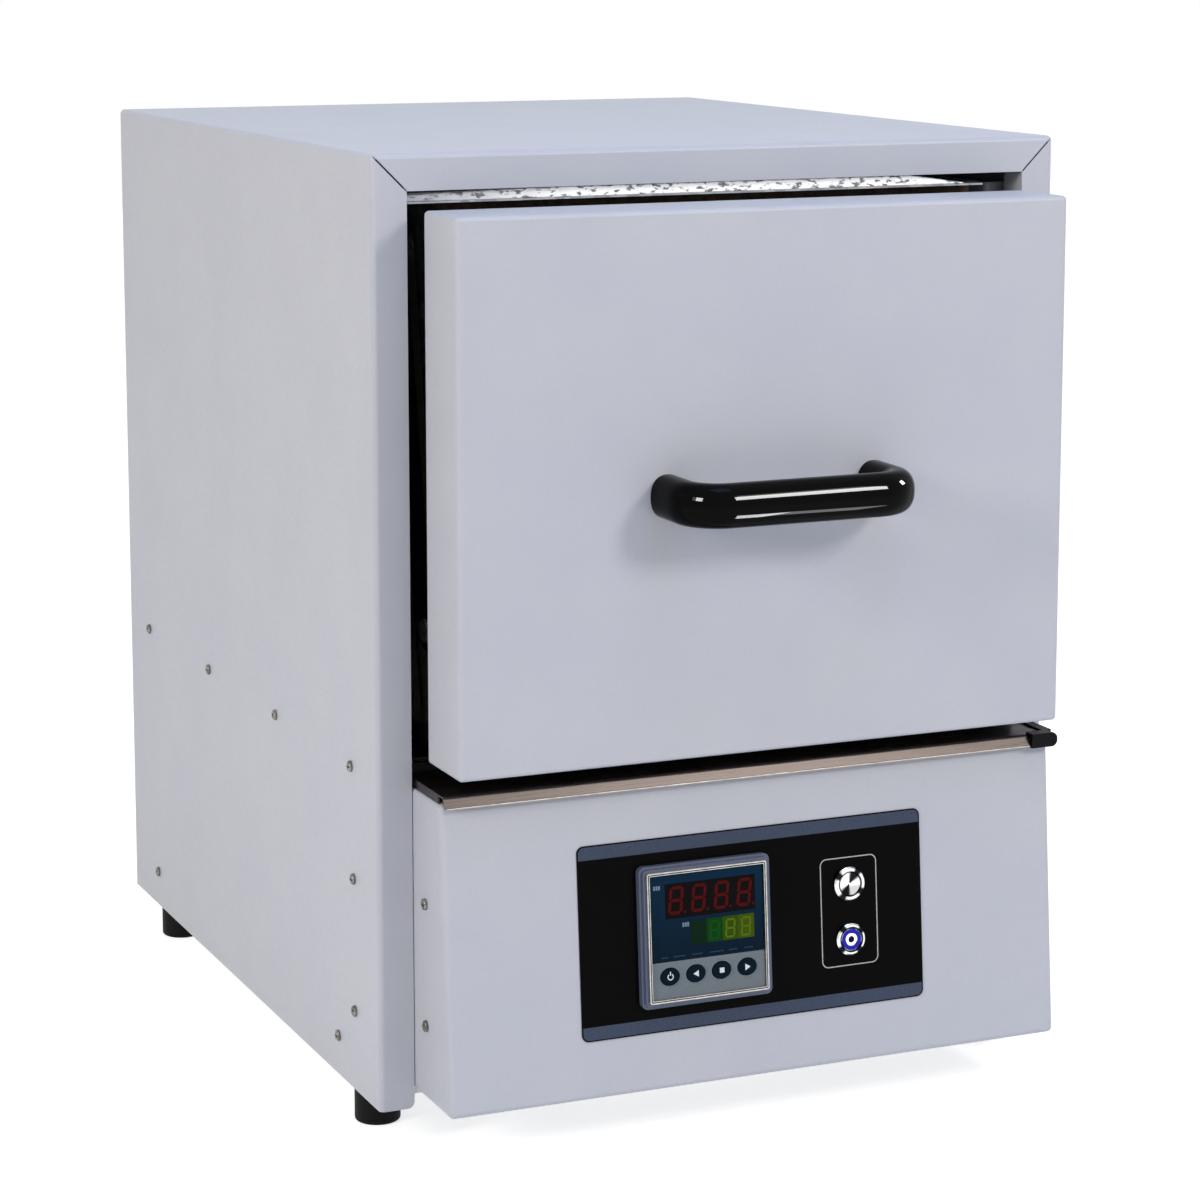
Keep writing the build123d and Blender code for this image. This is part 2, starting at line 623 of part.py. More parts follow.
def controller_body():
    """Controller case: a deep box through the panel, hollowed under its keys."""
    body = face_plate(CONTROLLER_X, PANEL_MID, CASE_SIZE, CASE_SIZE, 1, -88, CASE_FRONT)
    return body - face_plate(CONTROLLER_X, KEY_UP, 62, 14, 2, 1.5, CASE_FRONT + 1)


def controller_bezel():
    """Stepped moulded bezel round the controller's face."""
    bezel = face_plate(CONTROLLER_X, PANEL_MID, BEZEL, BEZEL, 3.5, OVERLAY_T, 4.6)
    bezel += face_plate(CONTROLLER_X, PANEL_MID, BEZEL - 3.4, BEZEL - 3.4, 2.4, OVERLAY_T, 6.4)
    bezel -= face_plate(CONTROLLER_X, PANEL_MID, CASE_SIZE, CASE_SIZE, 1, 0, 9)
    return bezel - face_plate(CONTROLLER_X, PANEL_MID, TRIM, TRIM, 1.2, 4.0, 9)


def controller_trim():
    """Bright narrow frame round the display window."""
    frame = face_plate(CONTROLLER_X, PANEL_MID, TRIM, TRIM, 1.2, 4.0, 8.0)
    return frame - face_plate(CONTROLLER_X, PANEL_MID, TRIM - 3.4, TRIM - 3.4, 0.6, 3, 9)


def controller_front():
    """Display front, with an oval hole for each key."""
    size = TRIM - 3.5
    front = face_plate(CONTROLLER_X, PANEL_MID, size, size, 0.6, CASE_FRONT, CASE_FRONT + 1.2)
    for index in range(4):
        front -= key_oval(index, KEY_GAP, CASE_FRONT - 1, CASE_FRONT + 2)
    return front


def key_oval(index, grow, out0, out1):
    """Oval prism at one key's place, larger all round by grow."""
    x = CONTROLLER_X + (index - 1.5) * KEY_PITCH
    oval = Pos(x, KEY_UP, out0) * Ellipse(KEY_SIZE[0] + grow, KEY_SIZE[1] + grow)
    return on_face(extrude(oval, out1 - out0))


def controller_key(index):
    """Rubber key with a brim that keeps it behind the display front."""
    return key_oval(index, 0, 3.4, 7.2) + key_oval(index, 0.9, 3.4, 4.9)


def button_bezel(sign, radius):
    """Turned bezel and threaded barrel of a metal push-button, with its nut behind the panel."""
    up = PANEL_MID + sign * BUTTON_RISE
    ring = face_disc(BUTTON_X, up, OVERLAY_T, 3.0, radius)
    ring = chamfer(ring.edges().sort_by(Axis.Y)[0], 0.8)
    ring += face_disc(BUTTON_X, up, -24, OVERLAY_T, 8.0)
    ring += face_disc(BUTTON_X, up, -SHEET - 3, -SHEET, 10.5)
    return ring - face_disc(BUTTON_X, up, -4.7, 4, 6.6)


def button_cap(sign, dish):
    """Metal cap that slides in the bezel; a dish is a shallow hollow in its top."""
    up = PANEL_MID + sign * BUTTON_RISE
    cap = face_disc(BUTTON_X, up, -3.1, 2.6, 6.5)
    cap = chamfer(cap.edges().sort_by(Axis.Y)[0], 0.4)
    ball_r = 30.0
    return cap - on_face(Pos(BUTTON_X, up, 2.6 - dish + ball_r) * Sphere(ball_r))


TRAY_Z = 185.6          # middle of the sheet
TRAY_T = 1.0
TRAY_LEFT = -185.5
TRAY_RIGHT = 184.0
TRAY_BACK = 14.0
TRAY_LINE = [(TRAY_BACK, TRAY_Z), (-43.0, TRAY_Z), (-46.2, TRAY_Z - 5.6)]
CAP_LEFT = 172.5
CAP_RIGHT = 189.0
CAP_FRONT = -48.4
CAP_STEP = -44.2       # back of the part that wraps the lip
STRIP_FRONT = -41.0
STRIP_BACK = -1.0


def tray_profile(thickness, x0, x1):
    """The tray's side profile, a shelf with a lip folded down, drawn from x0 to x1."""
    line = FilletPolyline(*TRAY_LINE, radius=2)
    section = SIDE_VIEW.location * trace(line, line_width=thickness)
    return Pos(x0, 0, 0) * extrude(section, x1 - x0)


def heat_shield_tray():
    """Stainless shelf under the door: lip in front, hems folded down on to the housing."""
    tray = tray_profile(TRAY_T, TRAY_LEFT, TRAY_RIGHT)
    low, high, hem_front = HOUSING_TOP, TRAY_Z, -36.0
    tray += block(TRAY_LEFT, TRAY_LEFT + TRAY_T, hem_front, TRAY_BACK, low, high)
    tray += block(TRAY_RIGHT - TRAY_T, TRAY_RIGHT, hem_front, TRAY_BACK, low, high)
    tray += block(TRAY_LEFT, TRAY_RIGHT, TRAY_BACK - TRAY_T, TRAY_BACK, low, high)
    return tray


def tray_end_cap():
    """Moulded cap on the lip's right-hand end, with a strip that runs back along the edge."""
    bottom, top = TRAY_Z - 6.6, TRAY_Z + 1.6
    cap = block(CAP_LEFT, CAP_RIGHT, CAP_FRONT, CAP_STEP, bottom, top)
    cap += block(CAP_LEFT, CAP_RIGHT, CAP_STEP, STRIP_FRONT, TRAY_Z - 1.6, top)
    limits = block(CAP_LEFT, CAP_RIGHT, CAP_FRONT, STRIP_FRONT, bottom, top)
    end = [edge for edge in limits.edges().filter_by(Axis.Y) if edge.center().X > CAP_RIGHT - 0.1]
    cap &= fillet(end, 3.6)
    cap += block(TRAY_RIGHT - 1, CAP_RIGHT, STRIP_FRONT, STRIP_BACK, TRAY_Z - 1.6, top)
    return cap - heat_shield_tray()


# ---------------------------------------------------------------- electrics
SINK_X = -95.0
SINK_Y = 330.0


def relay_heat_sink():
    """Finned aluminium sink standing on the base pan."""
    sink = block(SINK_X - 50, SINK_X + 50, SINK_Y - 40, SINK_Y + 40, 29, 35)
    for fin in range(9):
        x = SINK_X - 48 + fin * 12
        sink += block(x - 1, x + 1, SINK_Y - 40, SINK_Y + 40, SHEET, 30)
    return sink


def solid_state_relay():
    """Relay block on the heat sink, with its terminal shoulders cut down."""
    relay = block(SINK_X - 22, SINK_X + 22, SINK_Y - 29, SINK_Y + 29, 35, 60)
    for side in (-1, 1):
        relay -= block(SINK_X - 30, SINK_X + 30, SINK_Y + side * 20, SINK_Y + side * 40, 50, 61)
    return relay


def terminal_block():
    """Mains terminal strip with raised ribs between its five poles."""
    strip = block(60, 150, 418, 442, SHEET, 14)
    for rib in range(6):
        x = 61 + rib * 17.6
        strip += block(x - 1, x + 1, 418, 442, 13, 24)
    return strip


def cable_gland():
    """Mains cable gland in the back panel, with its locknut inside."""
    x, z = GLAND
    gland = rod_y(x, z, CASE_D - 8, BACK_REACH, 9.9)
    gland += rod_y(x, z, CASE_D - 4, CASE_D, 13)
    hexagon = Plane.XZ.location * RegularPolygon(13.5, 6)
    gland += Pos(x, BACK_SHEET_Y, z) * extrude(hexagon, 6, dir=(0, 1, 0))
    dome = rod_y(x, z, BACK_SHEET_Y + 6, BACK_REACH, 11.5)
    gland += fillet(dome.edges().group_by(Axis.Y)[-1], 4)
    return gland - rod_y(x, z, CASE_D - 9, BACK_REACH + 1, 4.5)


# ---------------------------------------------------------------- all nodes
NODES = {
    "outer_casing": outer_casing(),
    "base_pan": base_pan(),
    "back_panel": back_panel(),
    "partition_plate": partition_plate(),
    "control_brackets": control_brackets(),
    "side_screws_right": side_screws(),
    "side_screws_left": other_side(side_screws()),
    "back_panel_screws": back_screws(),
    "rubber_feet": rubber_feet(),
    "inner_case": inner_case(),
    "front_collar": front_collar(),
    "insulation_floor": insulation_floor(),
    "insulation_roof": insulation_roof(),
    "insulation_right": insulation_side(),
    "insulation_left": other_side(insulation_side()),
    "insulation_rear": insulation_rear(),
    "heater_plate_right": heater_plate(),
    "heater_plate_left": other_side(heater_plate()),
    "heater_coils": heater_coils(),
    "hearth_plate": hearth_plate(),
    "thermocouple": thermocouple(),
    "exhaust_tube": exhaust_tube(),
    "lift_bracket_right": lift_bracket(),
    "lift_bracket_left": other_side(lift_bracket()),
    "case_pivot_pins": case_pivot_pins(),
    "upper_arm_right": lift_arm(0),
    "upper_arm_left": other_side(lift_arm(0)),
    "lower_arm_right": lift_arm(1),
    "lower_arm_left": other_side(lift_arm(1)),
    "door_bracket_right": door_bracket(),
    "door_bracket_left": other_side(door_bracket()),
    "door_pivot_pins": door_pivot_pins(),
    "door_pan": door_pan(),
    "door_back_plate": door_back_plate(),
    "door_insulation": door_insulation(),
    "door_plug": door_plug(),
    "door_handle": handle(),
    "handle_screws": handle_screws(),
    "door_switch": door_switch(),
    "door_magnet": door_magnet(),
    "control_housing": control_housing(),
    "panel_overlay": panel_overlay(),
    "controller_body": controller_body(),
    "controller_bezel": controller_bezel(),
    "controller_trim": controller_trim(),
    "controller_front": controller_front(),
    "power_button_bezel": button_bezel(1, 9.6),
    "power_button_cap": button_cap(1, 0.9),
    "start_button_bezel": button_bezel(-1, 9.0),
    "start_button_cap": button_cap(-1, 0.3),
    "heat_shield_tray": heat_shield_tray(),
    "tray_end_cap": tray_end_cap(),
    "relay_heat_sink": relay_heat_sink(),
    "solid_state_relay": solid_state_relay(),
    "terminal_block": terminal_block(),
    "cable_gland": cable_gland(),
}
for key_index, key_name in enumerate(("power", "left", "stop", "right")):
    NODES[f"key_{key_name}"] = controller_key(key_index)

os.makedirs("parts", exist_ok=True)
for node_name, node_shape in NODES.items():
    save(node_name, node_shape)
print(len(NODES), "nodes; origin shift", ORIGIN.position)
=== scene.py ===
# %% [markdown]
# # A bench muffle furnace
# The furnace's construction comes ready made as a fixed frame: every sheet, bracket, arm and board
# stands at its real size and moves on its own body. This script dresses it. It gives each node the
# finish of the real material, and adds what is small, soft, printed or lit: screw recesses, wound
# heating wire, the fibre blanket, display digits, key signs and the lit ring of a push-button.

# %% Load the frame
import json
import math

import bmesh
import bpy
import numpy as np
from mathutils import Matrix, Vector


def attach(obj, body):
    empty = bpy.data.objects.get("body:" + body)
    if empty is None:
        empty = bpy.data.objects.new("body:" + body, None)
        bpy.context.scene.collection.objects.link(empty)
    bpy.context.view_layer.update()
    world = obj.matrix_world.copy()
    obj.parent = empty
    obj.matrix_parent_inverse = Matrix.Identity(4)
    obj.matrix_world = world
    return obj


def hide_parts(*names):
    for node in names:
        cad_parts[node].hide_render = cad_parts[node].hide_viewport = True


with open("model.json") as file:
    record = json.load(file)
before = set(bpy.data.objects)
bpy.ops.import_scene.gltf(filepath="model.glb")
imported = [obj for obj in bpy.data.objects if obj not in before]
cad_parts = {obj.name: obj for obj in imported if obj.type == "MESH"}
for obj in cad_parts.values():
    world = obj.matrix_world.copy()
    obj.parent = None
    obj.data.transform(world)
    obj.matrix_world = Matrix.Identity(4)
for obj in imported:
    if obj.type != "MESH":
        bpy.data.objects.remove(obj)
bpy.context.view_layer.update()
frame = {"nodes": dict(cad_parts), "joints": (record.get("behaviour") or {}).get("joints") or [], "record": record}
MM = 0.001

# %% [markdown]
# ## Camera
# The camera stands to the left and a little above, with a long lens that keeps the casing's edges
# nearly parallel. It is placed by its point, its turn from straight ahead and its downward tilt. A
# small shift of the picture keeps the uprights from leaning, as a view camera's rising front does.

# %% Camera
CAMERA_POINT = (-0.799, -1.8735, 0.663)
CAMERA_YAW = math.radians(23.39)
CAMERA_TILT = math.radians(8.87)
LENS_MM = 101.0
FILM_MM = 36.0
RISE = -0.12                    # shift, as a share of the picture


def make_camera():
    """A camera that looks along its yaw and tilt, with a rising front."""
    data = bpy.data.cameras.new("camera")
    data.lens = LENS_MM
    data.sensor_width = FILM_MM
    data.shift_y = RISE
    camera = bpy.data.objects.new("camera", data)
    camera.location = CAMERA_POINT
    camera.rotation_euler = (math.pi / 2 - CAMERA_TILT, 0, -CAMERA_YAW)
    bpy.context.collection.objects.link(camera)
    bpy.context.scene.camera = camera
    return camera


print("camera at", tuple(make_camera().location))

# %% [markdown]
# ## Colours and nodes
# Colours are hex values, as on a paint chart, and one function turns them to linear light. Another
# adds a node with its settings and links side by side, so a finish reads like a recipe.

# %% Colour and node helpers
def linear(hex_colour):
    """sRGB hex to linear RGBA: low values divided by 12.92, the others raised to the power 2.4."""
    srgb = np.array([int(hex_colour[i:i + 2], 16) for i in (1, 3, 5)]) / 255
    low, high = srgb / 12.92, ((srgb + 0.055) / 1.055) ** 2.4
    return (*np.where(srgb <= 0.04045, low, high), 1.0)


def add(tree, kind, inputs=None, **settings):
    """Add one node: settings are its properties, inputs its sockets' values or links."""
    node = tree.nodes.new(kind)
    for name, value in settings.items():
        setattr(node, name, value)
    for name, value in (inputs or {}).items():
        if isinstance(value, bpy.types.NodeSocket):
            tree.links.new(value, node.inputs[name])
        else:
            node.inputs[name].default_value = value
    return node


FINISHES = {}


def new_material(name, hex_colour, metallic, roughness, **shader_values):
    """A finish with a plain shader, kept by its name, and the coordinates that its patterns read."""
    material = FINISHES[name] = bpy.data.materials.new(name)
    material.use_nodes = True
    tree = material.node_tree
    shader = tree.nodes["Principled BSDF"]
    shader.inputs["Base Color"].default_value = linear(hex_colour)
    shader.inputs["Metallic"].default_value = metallic
    shader.inputs["Roughness"].default_value = roughness
    for socket, value in shader_values.items():
        shader.inputs[socket.replace("_", " ")].default_value = value
    place = add(tree, "ShaderNodeTexCoord").outputs["Object"]
    return tree, shader, place


def feed(tree, shader, **patterns):
    """Link patterns to the shader's sockets of those names."""
    for socket, pattern in patterns.items():
        tree.links.new(pattern, shader.inputs[socket.replace("_", " ")])


print("makers of nodes ready")

# %% [markdown]
# Natural surfaces are never even. Most patterns here are noise, whose size is given in metres, and
# it is used three ways: to blend two tones, to vary the roughness, and to tilt the surface.

# %% Patterns
NOISE_LOW, NOISE_HIGH = 0.3, 0.7    # most of the noise lies between these


def grain(tree, place, size, detail=2.0, stretch=(1, 1, 1)):
    """Noise whose grains are about size metres across, longer where stretch is under 1."""
    spread = add(tree, "ShaderNodeMapping", {"Vector": place, "Scale": stretch}).outputs["Vector"]
    noise = add(tree, "ShaderNodeTexNoise", {"Vector": spread, "Scale": 1 / size, "Detail": detail})
    return noise.outputs["Fac"]


def carry(tree, value, low, high, to_low=0.0, to_high=1.0):
    """Carry the range from low to high over to another range, and hold its ends."""
    ends = {"Value": value, "From Min": low, "From Max": high, "To Min": to_low, "To Max": to_high}
    return add(tree, "ShaderNodeMapRange", ends).outputs["Result"]


def spread_to(tree, noise, low, high):
    """Noise spread over the range from low to high."""
    return carry(tree, noise, NOISE_LOW, NOISE_HIGH, low, high)


def work_out(tree, operation, *values):
    """One step of arithmetic on numbers or sockets."""
    return add(tree, "ShaderNodeMath", dict(enumerate(values)), operation=operation).outputs[0]


def mix_colours(tree, amount, first, second):
    """Blend from the first colour to the second, each a hex value or a socket."""
    node = add(tree, "ShaderNodeMix", {0: amount}, data_type="RGBA")
    for index, colour in ((6, first), (7, second)):
        if isinstance(colour, str):
            node.inputs[index].default_value = linear(colour)
        else:
            tree.links.new(colour, node.inputs[index])
    return node.outputs[2]


def blend(tree, noise, first, second, amount=1.0):
    """Two colours blended by noise, the second one at most by amount."""
    return mix_colours(tree, spread_to(tree, noise, 0, amount), first, second)


def rough_surface(tree, shader, height, depth):
    """Let a height pattern, depth metres deep, tilt the surface."""
    feed(tree, shader, Normal=add(tree, "ShaderNodeBump", {"Height": height, "Distance": depth}).outputs[0])


print("makers of patterns ready")

# %% [markdown]
# ## Painted sheet
# The casing, the door and the control housing are folded from steel sheet and powder coated. The
# powder melts on the warm sheet and sets with a fine orange peel, which breaks reflections up into
# a soft satin sheen. The colour is a light bluish grey. The peel is about a millimetre wide on the
# real thing. Here it is half as large again, so that it shows when the whole furnace is seen.

# %% Powder coat
PEEL = 1.6 * MM
PEEL_DEPTH = 0.025 * MM
CLOUD = 60 * MM


def powder_coat():
    """Polyester powder coat on folded steel: satin, with a fine orange peel and faint clouds."""
    tree, shader, place = new_material("powder_coat", "#c0c1c9", 0.0, 0.42, IOR=1.5)
    peel = grain(tree, place, PEEL, 3.0)
    tint = blend(tree, grain(tree, place, CLOUD), "#bebfc8", "#c2c3ca")
    speck = blend(tree, peel, tint, "#a3a5af", 0.10)
    feed(tree, shader, Base_Color=speck, Roughness=spread_to(tree, peel, 0.36, 0.50))
    rough_surface(tree, shader, peel, PEEL_DEPTH)


powder_coat()
print("powder coat: peel", PEEL, "m")

# %% [markdown]
# ## Bare metals
# Hot-dip galvanised sheet shows spangle: zinc crystals some millimetres wide, each with its own
# brightness. Brushed stainless has fine lines along the sheet. Zinc-plated steel is a little
# cloudy, and the nickel-plated screws are smoother; their colour is painted darker than nickel,
# as a painted reflection of dark surroundings. Each is a full metal, so its colour is its
# reflectance and the default index stays.

# %% Galvanised sheet
SPANGLE = 7 * MM
WARP = 5 * MM                   # size of the bends in the crystals' edges
WARP_REACH = 3 * MM


def galvanised():
    """Hot-dip galvanised sheet: crystals of unlike brightness, dull between them."""
    tree, shader, place = new_material("galvanised", "#9da1a5", 1.0, 0.38)
    warp = add(tree, "ShaderNodeTexNoise", {"Vector": place, "Scale": 1 / WARP}).outputs["Color"]
    moved = add(tree, "ShaderNodeVectorMath", {0: warp, 3: WARP_REACH}, operation="SCALE").outputs[0]
    bent = add(tree, "ShaderNodeVectorMath", {0: place, 1: moved}).outputs[0]
    cells = add(tree, "ShaderNodeTexVoronoi", {"Vector": bent, "Scale": 1 / SPANGLE}).outputs["Color"]
    shade = add(tree, "ShaderNodeSeparateColor", {0: cells}).outputs[0]
    tone = mix_colours(tree, shade, "#85898e", "#b4b8bc")
    feed(tree, shader, Base_Color=tone, Roughness=carry(tree, shade, 0, 1, 0.28, 0.50))


galvanised()
print("spangle", SPANGLE, "m")

# %% Stainless, zinc, nickel and aluminium
BRUSH_LINE = 0.35 * MM
BRUSH_DEPTH = 0.01 * MM
BATH_CLOUD = 4 * MM
DIE_LINE = 0.5 * MM


def stainless(name, low, high):
    """Brushed stainless sheet between two tones: fine lines run along the sheet's length."""
    tree, shader, place = new_material(name, low, 1.0, 0.34)
    lines = grain(tree, place, BRUSH_LINE, 4.0, stretch=(0.008, 1, 1))
    feed(tree, shader, Base_Color=blend(tree, lines, low, high), Roughness=spread_to(tree, lines, 0.22, 0.40))
    rough_surface(tree, shader, lines, BRUSH_DEPTH)


def plated(name, bright, dull, roughness):
    """Electroplated steel: a bright skin with faint clouds where the bath lay thicker."""
    tree, shader, place = new_material(name, bright, 1.0, roughness)
    clouds = grain(tree, place, BATH_CLOUD)
    duller = spread_to(tree, clouds, roughness, roughness + 0.12)
    feed(tree, shader, Base_Color=blend(tree, clouds, bright, dull), Roughness=duller)


def sink_aluminium():
    """Extruded, clear-anodised aluminium: die lines run along the fins."""
    tree, shader, place = new_material("sink_aluminium", "#c0c2c4", 1.0, 0.34)
    lines = grain(tree, place, DIE_LINE, stretch=(1, 0.01, 1))
    feed(tree, shader, Roughness=spread_to(tree, lines, 0.28, 0.45))


stainless("stainless", "#8b847c", "#a9a29a")
plated("zinc_steel", "#b9b8ad", "#9d9b8f", 0.32)
# painted reflection: the screws' nickel is darkened, as if it mirrored dark surroundings
plated("screw_steel", "#8d8a85", "#5f5c58", 0.16)
plated("bright_trim", "#c4bfba", "#aca7a2", 0.22)
plated("button_steel", "#bdbbb8", "#a3a19e", 0.07)
sink_aluminium()
print("metals:", list(FINISHES)[1:])

# %% [markdown]
# ## Ceramics of the hot part
# The insulation is vacuum-formed ceramic fibre board: chalk white, matt, with short fibres and
# small pits. The heater plates are a denser moulded ceramic, the hearth is a coarse cordierite
# slab with grog specks, and the thermocouple's sheath and exhaust tube are smooth dense ceramic.

# %% Fibre board and ceramics
STAIN = 45 * MM


def pitted(name, pale, dark, speck_size, depth, roughness):
    """A dry mineral surface: specks of a darker tone and pits of the same grain."""
    tree, shader, place = new_material(name, pale, 0.0, roughness, IOR=1.5)
    specks = grain(tree, place, speck_size, 4.0)
    dusty = blend(tree, specks, pale, dark, 0.8)
    feed(tree, shader, Base_Color=blend(tree, grain(tree, place, STAIN), dusty, dark, 0.25))
    rough_surface(tree, shader, specks, depth)


pitted("fibre_board", "#f1eee6", "#ded6c6", 1.2 * MM, 0.25 * MM, 0.95)
pitted("moulded_ceramic", "#e6dcc8", "#cdbfa5", 2 * MM, 0.12 * MM, 0.85)
pitted("hearth_ceramic", "#a58e76", "#6d5a48", 1.5 * MM, 0.15 * MM, 0.80)
pitted("sheath_ceramic", "#efe9dd", "#ddd4c4", 3 * MM, 0.02 * MM, 0.35)
pitted("heating_wire", "#57504a", "#35302d", 0.8 * MM, 0.03 * MM, 0.60)
print("ceramics:", list(FINISHES)[-5:])

# %% [markdown]
# ## Plastics and rubber
# The handle is a glossy black moulding, polished in the tool. The small mouldings are spark-eroded
# black nylon, the relay and the terminals are pale filled plastics, the controller's bezel is a
# blue-grey one, and the feet are soft black rubber with a dull bloom. The blacks get a specular
# level far under their kind's: all-white surroundings would lift them to grey.

# %% Mouldings
def moulding(name, hex_colour, roughness, texture, depth, **shader_values):
    """Injection moulding: one colour all through, with the tool's texture in its skin."""
    tree, shader, place = new_material(name, hex_colour, 0.0, roughness, **shader_values)
    skin = grain(tree, place, texture)
    feed(tree, shader, Roughness=spread_to(tree, skin, roughness, roughness * 1.25))
    rough_surface(tree, shader, skin, depth)


moulding("relay_plastic", "#d8d8d4", 0.40, 1.0 * MM, 0.02 * MM, IOR=1.5)
moulding("white_plastic", "#dcdcd6", 0.35, 1.0 * MM, 0.01 * MM, IOR=1.53)
moulding("bezel_plastic", "#4e586d", 0.30, 0.9 * MM, 0.01 * MM, IOR=1.5)
moulding("black_gloss", "#010101", 0.04, 12 * MM, 0.01 * MM, IOR=1.5, Specular_IOR_Level=0.035)
moulding("black_plastic", "#08080b", 0.40, 0.8 * MM, 0.03 * MM, IOR=1.53, Specular_IOR_Level=0.09)
moulding("key_rubber", "#04141f", 0.30, 0.9 * MM, 0.01 * MM, IOR=1.42, Specular_IOR_Level=0.06)
moulding("foot_rubber", "#0a0a0b", 0.55, 1.2 * MM, 0.05 * MM, IOR=1.52, Specular_IOR_Level=0.12)
moulding("panel_film", "#060505", 0.28, 0.9 * MM, 0.006 * MM, IOR=1.57, Specular_IOR_Level=0.025)
print(len(FINISHES), "finishes so far")

# %% [markdown]
# ## The sloping control face
# Everything on the control panel lies square to a face that leans back a few degrees. The power
# button travels straight into it, so that joint's axis is the face's inward normal, and the film
# panel's middle is a point on it. Helpers turn flat coordinates (right, up, out) into places in the
# room, and measure nodes on the face.

# %% Coordinates on the face
JOINTS = {joint["name"]: joint for joint in frame["joints"]}
OUT = -np.array(JOINTS["power_button_press"]["axis"], float)
RIGHT = np.array([1.0, 0.0, 0.0])
UP = np.cross(OUT, RIGHT)


def corners(node):
    """All the vertices of a CAD node as an array of points."""
    mesh = frame["nodes"][node].data
    flat = np.empty(len(mesh.vertices) * 3)
    mesh.vertices.foreach_get("co", flat)
    return flat.reshape(-1, 3)


FACE_MID = (corners("panel_overlay").min(0) + corners("panel_overlay").max(0)) / 2


def on_face(flat):
    """Places of points given as (right, up, out) from the film panel's middle."""
    return FACE_MID + flat[..., :1] * RIGHT + flat[..., 1:2] * UP + flat[..., 2:3] * OUT


def proud(node):
    """How far out a node's front stands from the film's middle plane."""
    return float(((corners(node) - FACE_MID) @ OUT).max())


def face_centre(node):
    """A node's middle on the face, as (right, up)."""
    flat = corners(node) - FACE_MID
    return np.array([(side.min() + side.max()) / 2 for side in (flat @ RIGHT, flat @ UP)])


def face_size(node):
    """A node's width and height on the face."""
    return np.array([np.ptp(corners(node) @ side) for side in (RIGHT, UP)])


TRIM_MID = face_centre("controller_trim")
print("face leans", round(math.degrees(math.asin(OUT[2])), 2), "degrees; controller at", TRIM_MID)

# %% [markdown]
# ## The controller's front
# The window and the key strip are one printed foil: deep teal lacquer behind the clear part, and a
# silver-grey strip under it. A print has no thickness to speak of, so it is made in the finish: the
# height up the face picks the colour. The teal is a little lighter towards the top.

# %% Display foil
WINDOW = 69.0 * MM              # inside the bright trim
TEAL_TALL = 48.5 * MM
STRIP_TOP = WINDOW / 2 - TEAL_TALL
FLAKE = 0.5 * MM
TEAL_GLOSS, SILVER_GLOSS = 0.12, 0.38


def distance_along(tree, place, centre, axis):
    """How far a place lies from a centre along an axis."""
    moved = add(tree, "ShaderNodeVectorMath", {0: place, 1: tuple(centre)}, operation="SUBTRACT").outputs[0]
    along = add(tree, "ShaderNodeVectorMath", {0: moved, 1: tuple(axis)}, operation="DOT_PRODUCT")
    return along.outputs["Value"]


def display_foil():
    """Printed acrylic foil: glossy teal above, satin silver-grey below."""
    tree, shader, place = new_material(
        "display_window", "#01243b", 0.0, TEAL_GLOSS, IOR=1.49, Specular_IOR_Level=0.05)
    height = distance_along(tree, place, FACE_MID + TRIM_MID[1] * UP, UP)
    teal = mix_colours(tree, carry(tree, height, STRIP_TOP, WINDOW / 2), "#011726", "#01273f")
    silver = blend(tree, grain(tree, place, FLAKE), "#6a7177", "#7b8287")
    above = work_out(tree, "GREATER_THAN", height, STRIP_TOP)
    gloss = carry(tree, above, 0, 1, SILVER_GLOSS, TEAL_GLOSS)
    feed(tree, shader, Base_Color=mix_colours(tree, above, silver, teal), Roughness=gloss)


display_foil()
print("foil: strip below", round(STRIP_TOP / MM, 1), "mm from the middle")

# %% [markdown]
# ## A finish for every node
# The frame's record names each node's material. Four sorts of piece are set apart from their kind
# afterwards: the linkage arms are made near black, so they vanish in the dark gaps; the collar
# and the plate under it are painted dark brown as the shade of the gaps they lie in; and the drip
# tray's stainless is painted darker, as shade and as a painted reflection of the dark door over it.

# %% Give every node its finish
SUBPARTS = frame["record"]["subparts"]
ARMS = ("upper_arm_left", "upper_arm_right", "lower_arm_left", "lower_arm_right")
GAP_SHADED = ("front_collar", "partition_plate")


def finish_node(node, finish):
    """Put a finish on a CAD node."""
    for holder in frame["nodes"][node].material_slots:
        holder.material = FINISHES[finish]


# near black for the linkage arms, so they vanish in the dark gaps
plated("near_black_arms", "#2e2d2b", "#232220", 0.45)
# painted shade: the collar and the plate under it are made dark brown as the shade of the gaps
plated("gap_shade_brown", "#3b332c", "#2c2621", 0.42)
# painted shade and reflection: the tray's stainless is made darker, as the dark door it mirrors
stainless("tray_shaded_steel", "#46403d", "#5f5752")
for part in SUBPARTS:
    finish_node(part["node"], part["material_slot"])
for arm in ARMS:
    finish_node(arm, "near_black_arms")
for node in GAP_SHADED:
    finish_node(node, "gap_shade_brown")
finish_node("heat_shield_tray", "tray_shaded_steel")
print(len(SUBPARTS), "nodes finished")

# %% [markdown]
# ## Surfaces from arrays
# The small pieces are all closed surfaces worked out on a grid: each row is a closed line round
# the piece, and the rows run from one pole to the other. One function turns such grids into a
# mesh, welds the poles and makes the faces point outwards. Another closes the ends of a tube.

# %% Grid to mesh
def full_turn(steps):
    """Equal steps of angle once round, without the last one, which is the first again."""
    return np.linspace(0, 2 * np.pi, steps, endpoint=False)


